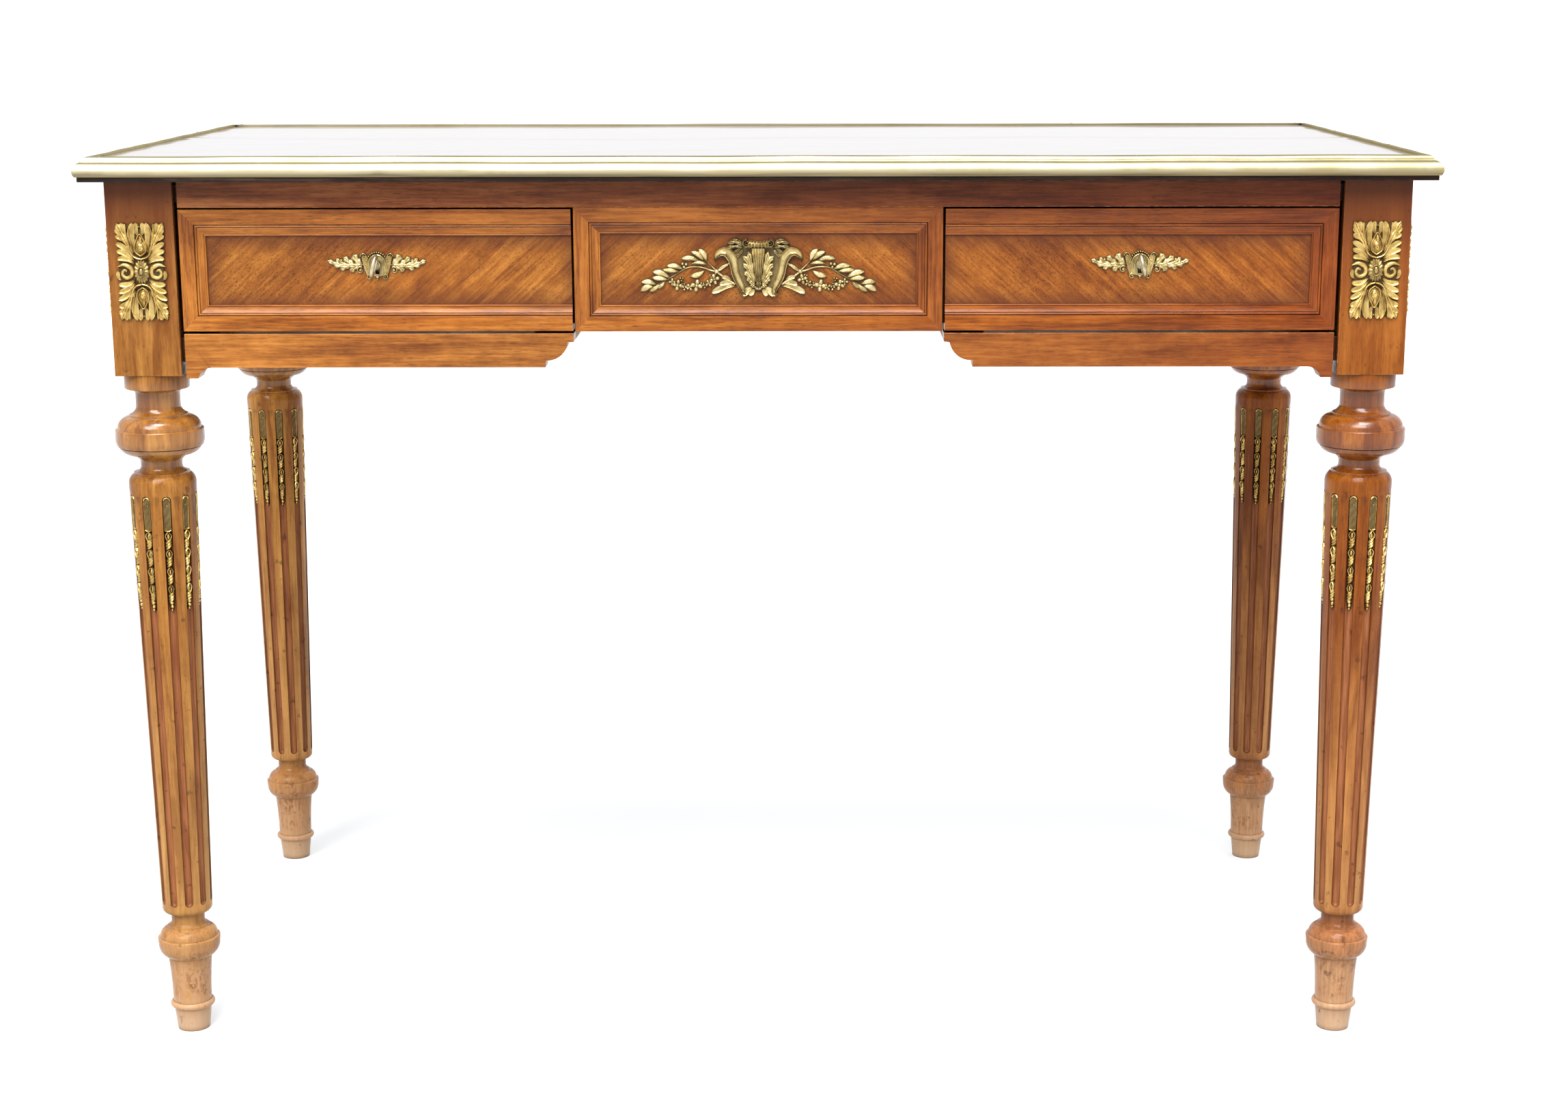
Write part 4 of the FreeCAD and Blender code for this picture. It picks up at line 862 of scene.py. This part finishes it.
def plaque_corner(relief):
    """A quarter of a plaque: a corner leaf, side fingers and half of a cupped petal."""
    relief.finger([(10, 25), (13.2, 32), (14.6, 39.6)], 5.6, 2.3)
    relief.finger([(9, 21), (13.5, 26.5), (19.9, 29)], 5.6, 2.2)
    relief.finger([(10, 24), (15, 30.5), (20.1, 34.2)], 5.4, 2.3)
    relief.leaf([(5.8, 13), (10.5, 22.5), (14.8, 31), (19, 39.8)], 7.4, 3.0, 3, tip=0.4)
    relief.finger([(5.4, 11.5), (10.5, 17), (15.2, 20.8), (20.0, 23.2)], 5.4, 2.4)
    relief.finger([(5.2, 8.8), (10.2, 13), (15, 15.6), (19.8, 17.0)], 5.4, 2.6)
    relief.finger([(5.4, 6.2), (10, 9.6), (14.8, 10.8), (19.4, 10.2)], 5.0, 2.8)
    relief.finger([(1.0, 13.4), (5.4, 20), (7.2, 29), (5.6, 39.8)], 7.0, 2.2, tip=0.4)
    relief.finger([(0.8, 28), (3.0, 34), (2.5, 39.8)], 4.6, 2.2, tip=0.4)
    relief.bar([(0.2, 10.2), (4.6, 11.6), (7.7, 15), (9.4, 22), (11.2, 31), (11.6, 38.6)], 2.1, 3.4, steps=30)
    relief.bar([(5.6, 15.8), (7.4, 22), (8.6, 29), (8.6, 35)], 1.2, 2.6, steps=20)


def plaque_bud(relief):
    """A seed bud in its cup, with a curl inside its rim, and the pin that holds the plaque."""
    rim = [(0, 12.8), (4.2, 16.2), (4.7, 21.2), (2.6, 26.4), (0, 30.4)]
    rim += [(-x, y) for x, y in rim[-2::-1]]
    relief.bead((0, 21.2), 9.6, 15.6, 1.9, around=20)
    relief.bar(rim, 1.7, 3.1, steps=44)
    relief.bead((0, 19.8), 6.4, 9.0, 3.2, around=18)
    relief.leaf([(0.2, 21.0), (0.5, 25), (0, 29.6)], 3.4, 3.6, tip=0.2)
    relief.bar(volute((0, 18.6), 2.4, 1.5, 30, 0.75), 1.2, 3.9, steps=22, taper=0.2)
    relief.dull = 1.0
    relief.bead((0, 18.6), 1.9, 2.6, 3.6)
    relief.bead((0, 36.4), 2.3, 2.3, 2.9)
    relief.dull = 0.0


def plaque_rosette(relief):
    """A dull, ribbed oval rosette round a ringed seed."""
    relief.dull = 0.8
    relief.ribbed_dome(12.8, 20.2, 3.3, 16)
    ring = [(2.7 * math.cos(a), 4.2 * math.sin(a)) for a in np.linspace(0, 2 * math.pi, 17)]
    relief.bar(ring, 1.0, 1.5, 2.9, 34)
    relief.bead((0, 0), 3.8, 6.4, 1.9, 2.8, 16)
    relief.dull = 0.0


def plaque():
    """A block plaque: a rosette between two cupped buds, side scrolls and leaves to the corners."""
    relief = Relief(floor=0.3)
    angle = np.linspace(0, 2 * np.pi, 64, endpoint=False)
    squareness = 0.22
    chamfer = 0.3
    outline = np.stack([half * np.sign(wave) * np.abs(wave) ** squareness
                        for half, wave in ((18.0, np.cos(angle)), (38.2, np.sin(angle)))], axis=1)
    inner = outline * (1 - chamfer / np.abs(outline).max())
    relief.loft(level_rings([(outline, 0.0), (outline, 0.4), (inner, 0.7)]))
    scroll = [(19.8, 3.8), (14.0, 5.6), (8.4, 2.4), (8.4, -3.0), (12.8, -5.2), (16.0, -2.2), (14.4, 1.2),
              (12.2, 0.2)]
    for up in SIDES:
        for across in SIDES:
            relief.flip = (across, up)
            plaque_corner(relief)
        plaque_bud(relief)
    for across in SIDES:
        relief.flip = (across, 1)
        relief.bar(scroll, 5.2, 3.6, 0, 44, 0.5, 9, 0.3)
        relief.finger([(16.4, -7.2), (19.0, -4.6), (19.2, 0.8)], 3.4, 2.6)
        relief.dull = 1.0
        relief.bead((12.4, 0.1), 1.7, 1.7, 1.9)
        relief.dull = 0.0
    plaque_rosette(relief)
    return relief


def chandelle():
    """A flute insert: a sunk strip between rims, with an arched head and a nail, then a chain of husks."""
    sunk = -3.0
    relief = Relief(sunk, sunk)
    top = INSERT_LENGTH
    chain = top - INSERT_STRIP
    # The sunk strip is dull and dark: dull metal, and painted shade where it lies sunk in the flute
    relief.dull = 1.0
    relief.strip([(0, top - 1.4), (0, top - 12), (0, chain)], lambda t: 2.9 + 0 * t,
                 lambda t, v: 1.3 + 0.25 * v**2 + 0.12 * np.sin(23 * t + 3 * v), steps=30)
    relief.bead((0.3, top - 8.6), 2.0, 2.0, 1.0, 1.2)
    relief.dull = 0.1
    for side in SIDES:
        relief.flip = (side, 1)
        relief.bar([(2.95, top - 3.4), (2.95, top - 14), (2.75, chain + 0.6)], 0.8, 2.5, steps=20)
    relief.dull = 0.0
    relief.bar(arc((-2.7, top - 3.4), (2.7, top - 3.4), 2.75, 11), 1.7, 3.2)
    relief.bar([(-2.6, chain + 0.6), (0, chain - 0.2), (2.6, chain + 0.6)], 1.4, 3.0, steps=14)
    husks = 4
    pitch = 15.2
    for k in range(husks):
        high = chain - k * pitch - 0.6
        size = 1 - 0.06 * k
        for side in SIDES:
            relief.flip = (side, 1)
            relief.bar([(0.4, high - 0.2), (2.5 * size, high - 3.6), (0.4, high - 8.4)], 1.3, 3.5, steps=14)
        relief.dull = 0.35
        relief.bead((0, high - 4.2), 3.4 * size, 7.0, 2.7)
        relief.dull = 0.1
        for drop, lean in ((6.4, 1.0), (8.8, 0.95), (11.2, 0.85)):
            low = high - drop - 4.2
            line = [(-2.6 * size * lean, low), (-0.4, low + 1.8), (2.7 * size * lean, low + 4.8)]
            relief.leaf(line, 3.0, 3.5, tip=0.1, blunt=0.45, wide_at=0.5)
        relief.dull = 0.0
    end = chain - husks * pitch
    relief.bead((0, end - 1.0), 3.7, 3.8, 3.2)
    relief.bead((0.2, end - 4.2), 3.0, 4.0, 3.0)
    relief.bead((0, end - 7.2), 2.0, 2.6, 2.4, around=10)
    return relief


def on_flute(relief, across, forward, flute):
    """A chandelle's points in one flute of a leg: its length lies down the tapered column."""
    angle = 2 * math.pi * flute / FLUTES
    foot = FLUTE_HIGH - INSERT_LENGTH
    radius = COLUMN_FOOT_RADIUS + COLUMN_LEAN * (foot - COLUMN_LOW)
    side, up, out = np.asarray(relief.points).T
    reach = radius + COLUMN_LEAN * up + out
    x = across * LEG_X + reach * math.cos(angle) - side * math.sin(angle)
    y = forward * LEG_Y + reach * math.sin(angle) + side * math.cos(angle)
    return np.stack([x, y, foot + up - COLUMN_LEAN * out], axis=1) * MM


def keyhole_outline(angle):
    """Points round a keyhole: a round eye over a slot."""
    eye, slot, low = 3.1, 1.7, -8.0
    direction = np.stack([np.cos(angle), np.sin(angle)], axis=1)
    points = eye * direction
    below = (direction[:, 1] < 0) & (np.abs(points[:, 0]) < slot)
    points[below, 1] = low
    return points


def escutcheon_wing(relief):
    """One side of the cartouche: a ridged band between two scrolls, and a leaf wing with berries."""
    for line, width in (([(11.5, -0.8), (15.6, 2.4), (19.6, 7.8)], 6.8),
                        ([(17.5, -1.0), (22.6, 2.0), (27.6, 5.9)], 5.6),
                        ([(25.5, -0.8), (30.0, 1.8), (33.6, 4.9)], 3.8),
                        ([(14.0, -0.4), (18.8, -2.8), (21.9, -6.6)], 5.4),
                        ([(20.5, -0.6), (25.8, -2.4), (30.6, -4.4)], 4.6)):
        relief.leaf(line, 1.1 * width, 2.3, 2, 0.2, 0.5, 0.7, 0.5)
    relief.leaf([(10.5, -0.4), (20, -0.8), (31, -0.6), (40.2, 3.2)], 6.0, 3.0, 5, 0.4, 0.2, 0.45)
    relief.bead((29.0, 3.2), 2.8, 2.8, 2.9, 0.2)
    relief.strip([(10.4, 6.6), (9.0, 2.4), (7.2, -3.2), (6.2, -9.4)], lambda t: 2.0 + 0.9 * np.sin(np.pi * t),
                 lambda t, v: 2.3 - 0.9 * v**2 + 0.28 * np.cos(4 * np.pi * v), 0.4, 22, 17)
    relief.bar(volute((10.8, 6.4), 2.6, 0.6, 0, 1.4), 1.4, 2.9, 0.4, 24, 0.3)
    relief.bead((10.8, 6.4), 1.7, 1.7, 3.0, 0.4, 10)
    relief.bar(volute((6.3, -10.2), 2.3, 0.6, 90, -1.3), 1.4, 2.6, 0.4, 22, 0.3)
    relief.bead((6.3, -10.2), 1.8, 1.8, 2.7, 0.4, 10)
    relief.bar(volute((13.8, -4.8), 2.9, 0.8, 120, -1.2), 1.5, 2.4, 0.0, 22, 0.2)
    relief.bead((13.8, -4.8), 2.5, 2.5, 2.9, 0.2)


def escutcheon():
    """A keyhole cartouche with a beaded arch, scrolled sides and a leaf wing on each side."""
    relief = Relief()
    angle = np.linspace(0, 2 * np.pi, 48, endpoint=False) + math.pi / 2
    hole = keyhole_outline(angle)
    reach = 9.4 + 1.6 * np.cos(2 * angle) - 0.9 * np.sin(angle)
    edge = np.stack([reach * np.cos(angle), -0.8 + 1.06 * reach * np.sin(angle)], axis=1)
    between = 0.55 * edge + 0.45 * hole
    rings = level_rings([(edge, 0.0), (edge, 1.2), (between, 1.6), (hole, 1.2), (hole, 0.0)])
    relief.loft(rings, joined=True)
    arch = [(6.4 * math.cos(a), 1.2 + 6.4 * math.sin(a)) for a in np.radians(np.linspace(-15, 195, 15))]
    relief.bar(arch, 1.7, 2.4, 0.8, 40)
    for a in np.radians(np.linspace(10, 170, 13)):
        relief.bead((8.2 * math.cos(a), 1.4 + 8.4 * math.sin(a)), 1.75, 1.75, 2.4, 0.6, 10)
    for side in SIDES:
        relief.flip = (side, 1)
        escutcheon_wing(relief)
    relief.bead((0, -10.2), 3.0, 2.4, 1.9, 0.4)
    relief.bead((0, -12.0), 1.8, 1.8, 1.5, 0.2)
    return relief


def shield(relief):
    """The hollowed face of the lyre: its half width at each height, and a dish that rises to the rims."""
    heights = np.array([-20.0, -16.0, -11.0, -5.0, 1.0, 7.0, 12.0, 15.0, 18.0])
    widths = np.array([11.0, 13.0, 15.6, 17.8, 18.8, 20.4, 22.0, 17.0, 11.0])
    y, s = np.meshgrid(np.linspace(heights[0], heights[-1], 34), np.linspace(-1, 1, 25), indexing="ij")
    relief.skin(np.dstack([np.interp(y, heights, widths) * s, y, 0.9 + 0.9 * np.abs(s) ** 3]), 0.0)


def shield_side(relief, side):
    """One side of the lyre: a hollowed band that curls out into a horn, its foot, and a leaf tuft."""
    shares = [0, 0.08, 0.25, 0.45, 0.62, 0.75, 0.9, 1]
    halves = [1.6, 2.4, 3.4, 3.5, 4.2, 4.0, 2.3, 0.3]

    def rise(t, v):
        w = v * side
        rims = 2.6 * np.exp(-(((w + 0.82) / 0.17) ** 2)) + 1.9 * np.exp(-(((w - 0.86) / 0.16) ** 2))
        reed = 1.0 * np.exp(-(((w + 0.42) / 0.13) ** 2))
        return 2.5 + rims + reed - 0.3 * w

    band = [(12.6, -22.0), (13.0, -17.6), (15.8, -11.6), (18.6, -5), (19.8, 1), (21.4, 7.4), (25.6, 12.4),
            (30.6, 12.6), (34.4, 9.2), (35.4, 5.2)]
    relief.dull = 0.25
    relief.strip(band, lambda t: np.interp(t, shares, halves), rise, 0.0, 64, 19)
    relief.dull = 0.0
    relief.bar(volute((13.0, -21.2), 2.2, 0.8, 100 - 90 * side, -1.1), 1.7, 4.6, 0.2, 22, 0.3)
    relief.finger([(5.0, -15.6), (8.8, -18.4), (13.4, -22.6)], 6.6, 3.4, 0.4)
    relief.finger([(4.0, -16.6), (4.8, -19.4), (7.8, -22.4)], 5.0, 3.2, 0.4)
    relief.bar(volute((9.4, 19.4), 3.4, 0.9, 90, -1.6), 1.8, 5.2, 0.4, 30, 0.3)
    relief.dull = 0.5
    for line, width in (([(11.5, 17.0), (18, 20.6), (25.6, 19.6)], 4.4),
                        ([(11.5, 16.4), (18.5, 17.2), (26.4, 16.0)], 4.2),
                        ([(12.5, 18.6), (16.8, 22.2), (21.6, 22.6)], 3.4),
                        ([(12.0, 15.4), (15.4, 11.0), (19.2, 8.2)], 4.2)):
        relief.leaf(line, width, 4.2, 2, 0.6, 0.3)
    relief.dull = 0.0


def acanthus(relief):
    """Half of the upright leaf: toothed lobes that spread from its foot."""
    for line, width in (([(2.4, -13), (5.4, -1), (6.6, 6.5), (8.4, 13.2)], 5.4),
                        ([(2.6, -12), (6.2, -2), (8.8, 5.2), (12.8, 9.4)], 5.6),
                        ([(2.6, -13), (6.4, -6), (9.0, -0.6), (12.4, 3.2)], 5.4),
                        ([(2.4, -14), (6.0, -9.6), (8.6, -6.2), (11.6, -3.6)], 5.0),
                        ([(2.0, -15), (5.4, -12.4), (9.4, -9.0)], 4.4),
                        ([(1.2, -16.6), (3.8, -15.4), (6.4, -13.6)], 3.8)):
        relief.leaf(line, width, 3.0, 3, 1.0, 0.9, 0.5, 0.6)


def cartouche(relief):
    """The lyre-shaped shield with a reeded roll on top and an upright leaf."""
    def roll_rise(t, v):
        reeds = 6
        return 5.2 * np.sqrt(1.02 - v**2) * (0.82 + 0.18 * np.cos(2 * np.pi * reeds * t))

    def fluted(t, v):
        return 3.0 + 0.4 * t + 0.55 * np.cos(5 * np.pi * v) - 0.9 * v**4

    relief.dull = 0.8
    shield(relief)
    relief.dull = 0.0
    for side in SIDES:
        relief.flip = (side, 1)
        shield_side(relief, side)
        acanthus(relief)
    relief.strip([(-8.4, 18.8), (0, 18.4), (8.4, 18.8)], lambda t: 3.6 - 0.5 * np.sin(np.pi * t), roll_rise,
                 0.4, 90, 11)
    relief.leaf([(0, -10), (0, -14), (0, -18.6)], 6.0, 3.2, 2, 1.0, 0.6)
    relief.strip([(0, -16.6), (0, -4), (0, 15.6)], lambda t: 1.6 + 4.2 * t, fluted, 0.8, 26, 37)


# The right-hand laurel branch: leaves from root to tip with their widths, flowers and berries, in millimetres
LAUREL_LEAVES = (
    ((42.3, 5.3), (44.2, 10.6), (48.6, 15.0), 5.6), ((44.4, 6.0), (49.4, 10.8), (54.8, 12.9), 5.0),
    ((48.0, 5.2), (55.4, 7.8), (63.4, 7.2), 5.0), ((41.6, 2.5), (48.2, 4.2), (54.4, 3.2), 3.6),
    ((61.4, -1.4), (67.6, 1.2), (75.2, 1.4), 5.2), ((64.6, -3.4), (71.4, -2.4), (78.8, -1.8), 4.6),
    ((72.6, -8.2), (79.0, -4.6), (86.8, -3.4), 5.6), ((74.2, -9.6), (80.6, -8.8), (87.2, -8.4), 5.0),
    ((83.6, -13.8), (89.4, -11.8), (96.0, -11.8), 5.2), ((86.0, -15.2), (91.6, -16.2), (96.6, -19.2), 5.6),
    ((81.0, -13.6), (84.4, -16.8), (89.2, -19.4), 4.6), ((76.6, -11.4), (79.2, -14.4), (83.6, -16.8), 4.2),
    ((44.0, -2.6), (49.4, -5.8), (55.8, -7.2), 5.2),
)
SWAG_FLOWERS = ((36.0, -9.6, 3.9), (40.6, -12.8, 2.8), (50.6, -14.8, 4.5), (56.4, -16.0, 2.8),
                (66.2, -14.4, 4.0), (70.6, -11.8, 2.8))
LAUREL_BERRIES = ((60.6, 2.0, 4.0), (43.8, -15.0, 3.2), (46.0, -13.4, 2.6), (60.6, -16.6, 3.2),
                  (62.9, -9.4, 2.8), (61.8, -13.8, 2.4), (38.6, -6.8, 2.6))


def laurel_branch(relief, side):
    """One branch with its stems, leaves, flower swag and berries, and the fingers at its root."""
    relief.bar([(23, 4.0), (34, -3), (47, 0.2), (58, -0.2), (66.3, -5), (74.6, -9.8), (84.2, -14.6),
                (91, -17.2)], 2.2, 2.3, 0.0, 50, 0.45)
    relief.bar([(34, -3), (41.4, 4.4), (46.6, 12)], 1.7, 2.0, 0.0, 18, 0.4)
    relief.bar([(19, -13.5), (25, -10.2), (34.4, -3.4)], 2.8, 2.6, 0.0, 20, 0.2)
    relief.bar([(25, 2.4), (29.4, 0.6), (34, -3.4)], 3.0, 2.6, 0.0, 14, 0.3)
    relief.bar([(35, -5), (42, -13.4), (51, -15.6), (66, -14.4), (71, -9)], 2.0, 1.4, 0.0, 30)
    for index, (*line, width) in enumerate(LAUREL_LEAVES):
        relief.dull = 0.2 * (index % 3)
        relief.leaf(line, 0.92 * width, 3.0, 0, 0.2, 0.4, 0.62)
    relief.dull = 0.15
    for x, y, radius in SWAG_FLOWERS:
        relief.flower((x, y), 1.1 * radius, 3.4, 4, 0.2, 0.4 * x)
    for x, y, size in LAUREL_BERRIES:
        for turn in (0.4, 2.5, 4.6):
            spot = (x + 0.42 * side * size * math.cos(turn), y + 0.42 * size * math.sin(turn))
            relief.bead(spot, 0.72 * size, 0.72 * size, 2.6, 0.2, 9)
    relief.finger([(18.5, -14.6), (28, -16.0), (38.4, -20.6)], 5.8, 2.7, 0.2)
    relief.finger([(19.0, -13.0), (25.6, -12.2), (32.0, -14.0)], 5.0, 2.7, 0.2)
    relief.finger([(21.5, -11.6), (25.6, -8.6), (30.2, -7.6)], 4.2, 2.7, 0.2)
    relief.bead((34.2, -3.2), 4.6, 4.2, 2.9, 0.2)
    relief.dull = 0.0


def centre_mount():
    """A lyre-shaped shield with an upright leaf, between two laurel branches with flower swags."""
    relief = Relief()
    cartouche(relief)
    for side in SIDES:
        relief.flip = (side, 1)
        laurel_branch(relief, side)
    return relief


plaque_relief = plaque()
chandelle_relief = chandelle()
for end, forward in ENDS:
    for hand, across in HANDS:
        corner = f"{end}_{hand}"
        faces_of_block = (((across * LEG_X, forward * BLOCK_FRONT, PLAQUE_MIDDLE), Vector((0, forward, 0))),
                          ((across * BLOCK_SIDE, forward * LEG_Y, PLAQUE_MIDDLE), Vector((across, 0, 0))))
        relief_piece(f"gilt_plaques_{corner}",
                     [(plaque_relief, plaque_relief.placed(origin, out)) for origin, out in faces_of_block],
                     [PLAQUE_GILT], f"plaques_{corner}")
        relief_piece(f"gilt_chandelles_{corner}",
                     [(chandelle_relief, on_flute(chandelle_relief, across, forward, flute))
                      for flute in range(FLUTES)], [PLAQUE_GILT], f"chandelles_{corner}")

escutcheon_relief = escutcheon()
for hand, across in HANDS:
    placed = escutcheon_relief.placed((across * DRAWER_MIDDLE, FIELD, KEY_HEIGHT), FRONT)
    relief_piece(f"gilt_escutcheon_{hand}", [(escutcheon_relief, placed)], [GILT], f"escutcheon_{hand}")

mount_relief = centre_mount()
relief_piece("gilt_centre_mount", [(mount_relief, mount_relief.placed((0, FIELD, MOUNT_MIDDLE), FRONT))],
             [GILT], "centre_mount")


def writing_skin():
    """The leather as a thin skin with one long crease and a little unevenness."""
    low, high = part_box("writing_leather")
    x, y = np.meshgrid(np.linspace(low.x, high.x, 180), np.linspace(low.y, high.y, 90))
    crease_height = 0.00035
    crease_width = 0.006
    waver = 0.0001
    crease_line = 0.03 + 0.012 * np.sin(9 * x) + 0.006 * np.sin(23 * x + 1.0)
    crease = crease_height * np.exp(-(((y - crease_line) / crease_width) ** 2))
    uneven = waver * np.sin(31 * x + 3 * np.sin(17 * y)) * np.sin(27 * y)
    relief = Relief()
    relief.skin(np.dstack([x, y, high.z - waver + crease + uneven]), low.z)
    relief_piece("leather_skin", [(relief, relief.points)], [LEATHER], "writing_leather")


writing_skin()


def edge_section():
    """The brass edge in millimetres, inwards and up: an ovolo, a fillet between two quirks, a rounded lip."""
    ovolo = arc((1.7, 0), (0, 4.6), 7.1) + arc((0, 4.6), (5.2, 11.6), 7.4, 14)[1:]
    fillet = [(5.5, 11.0), (5.9, 11.1), (6.0, 11.8), (6.3, 12.7), (6.6, 12.8), (6.9, 12.3), (7.2, 12.4),
              (7.3, 13.1)]
    lip = arc((7.3, 13.1), (10.2, 16.0), 3.3) + [(14.1, 16.0), (14.5, 15.7), (14.5, 0.0)]
    return np.array(ovolo + fillet + lip)


def brass_edge(place, turn):
    """One mitred length, a little uneven by hand, along one side of the top."""
    node = f"brass_edge_{place}"
    inward, up = edge_section().T * MM
    half_x, half_y = cad_high.x, cad_high.y
    long, far = (half_x, half_y) if turn % 2 == 0 else (half_y, half_x)
    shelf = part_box(node)[0].z
    upper = up > 0.001
    outer = inward < 0.009
    waver_up = 0.00012
    waver_in = 0.00016
    rings = []
    for t in np.linspace(-1, 1, 72):
        quiet = 1 - t**8
        lift = quiet * waver_up * (math.sin(9 * t + turn) + math.sin(23 * t))
        push = quiet * waver_in * (math.sin(7 * t + 2 * turn) + math.sin(31 * t))
        along = t * (long - inward)
        away = far - inward - push * outer
        x, y = ((along, -away), (away, along), (-along, away), (-away, -along))[turn]
        rings.append(np.column_stack([x, y, shelf + up + lift * upper]))
    relief = Relief()
    relief.loft(rings)
    relief_piece(f"moulded_{node}", [(relief, relief.points)], [BRASS], node)


for turn, place in enumerate(("front", "right", "rear", "left")):
    brass_edge(place, turn)


def edge_pins():
    """Small round pin heads along the lip of the brass edge."""
    relief = Relief()
    relief.bead((0, 0), 3.0, 3.0, 0.55, 0.0, 14)
    inset = 0.0105
    top = cad_high.z - 0.0002
    depth = cad_high.y - inset
    width = cad_high.x - inset
    spots = [(x, side * depth) for x in (-0.53, -0.305, 0.0, 0.305, 0.53) for side in SIDES]
    spots += [(side * width, y) for y in (-0.12, 0.12) for side in SIDES]
    points = np.asarray(relief.points) * MM
    parts = [(relief, points + np.array([x, y, top])) for x, y in spots]
    relief_piece("edge_pins", parts, [PIN_METAL], "brass_edge_front", in_its_place=False)


edge_pins()

# Studio: a pale floor, a sky that is a little dimmer in front, and three soft lights
floor_mesh = bpy.data.meshes.new("floor")
floor_corners = [(x * FLOOR_HALF, y * FLOOR_HALF, 0) for x, y in ((-1, -1), (1, -1), (1, 1), (-1, 1))]
floor_mesh.from_pydata(floor_corners, [], [(0, 1, 2, 3)])
floor_mesh.materials.append(floor_paint())
floor = bpy.data.objects.new("floor", floor_mesh)
show(floor)

sky = Look("studio", bpy.data.worlds, "Background")
rearward = sky.axes(sky.place("Generated"))[1]
bpy.context.scene.world = sky.finish(Color=STUDIO_WHITE, Strength=sky.span(rearward, -1.0, 0.1, 0.85, 1.09))


def sun(name, azimuth, elevation, strength, spread, mirrored=True):
    """Soft light from far off: azimuth 0 is the front and 90 the right, in degrees."""
    light = bpy.data.lights.new(name, "SUN")
    light.energy = strength
    light.angle = math.radians(spread)
    lamp = bpy.data.objects.new(name, light)
    lamp.rotation_euler = (math.radians(90 - elevation), 0, math.radians(azimuth))
    lamp.visible_glossy = mirrored
    show(lamp)


sun("key_light", -14, 45, 4.0, 34)
sun("top_light", 4, 72, 3.0, 22)
sun("rim_light", 150, 35, 1.4, 40, mirrored=False)

lens = bpy.data.cameras.new("camera")
lens.sensor_width = 36.0
lens.lens = CAMERA_LENS
lens.shift_x, lens.shift_y = CAMERA_SHIFT
lens.clip_end = CAMERA_SIGHT
stand = Matrix.Translation(CAMERA_PLACE)
for degrees, axis in ((-CAMERA_YAW, "Z"), (90 - CAMERA_PITCH, "X"), (CAMERA_ROLL, "Z")):
    stand = stand @ Matrix.Rotation(math.radians(degrees), 4, axis)
camera = bpy.data.objects.new("camera", lens)
camera.matrix_world = stand
show(camera)
bpy.context.scene.camera = camera
bpy.context.scene.view_settings.view_transform = "Standard"

bpy.context.view_layer.update()
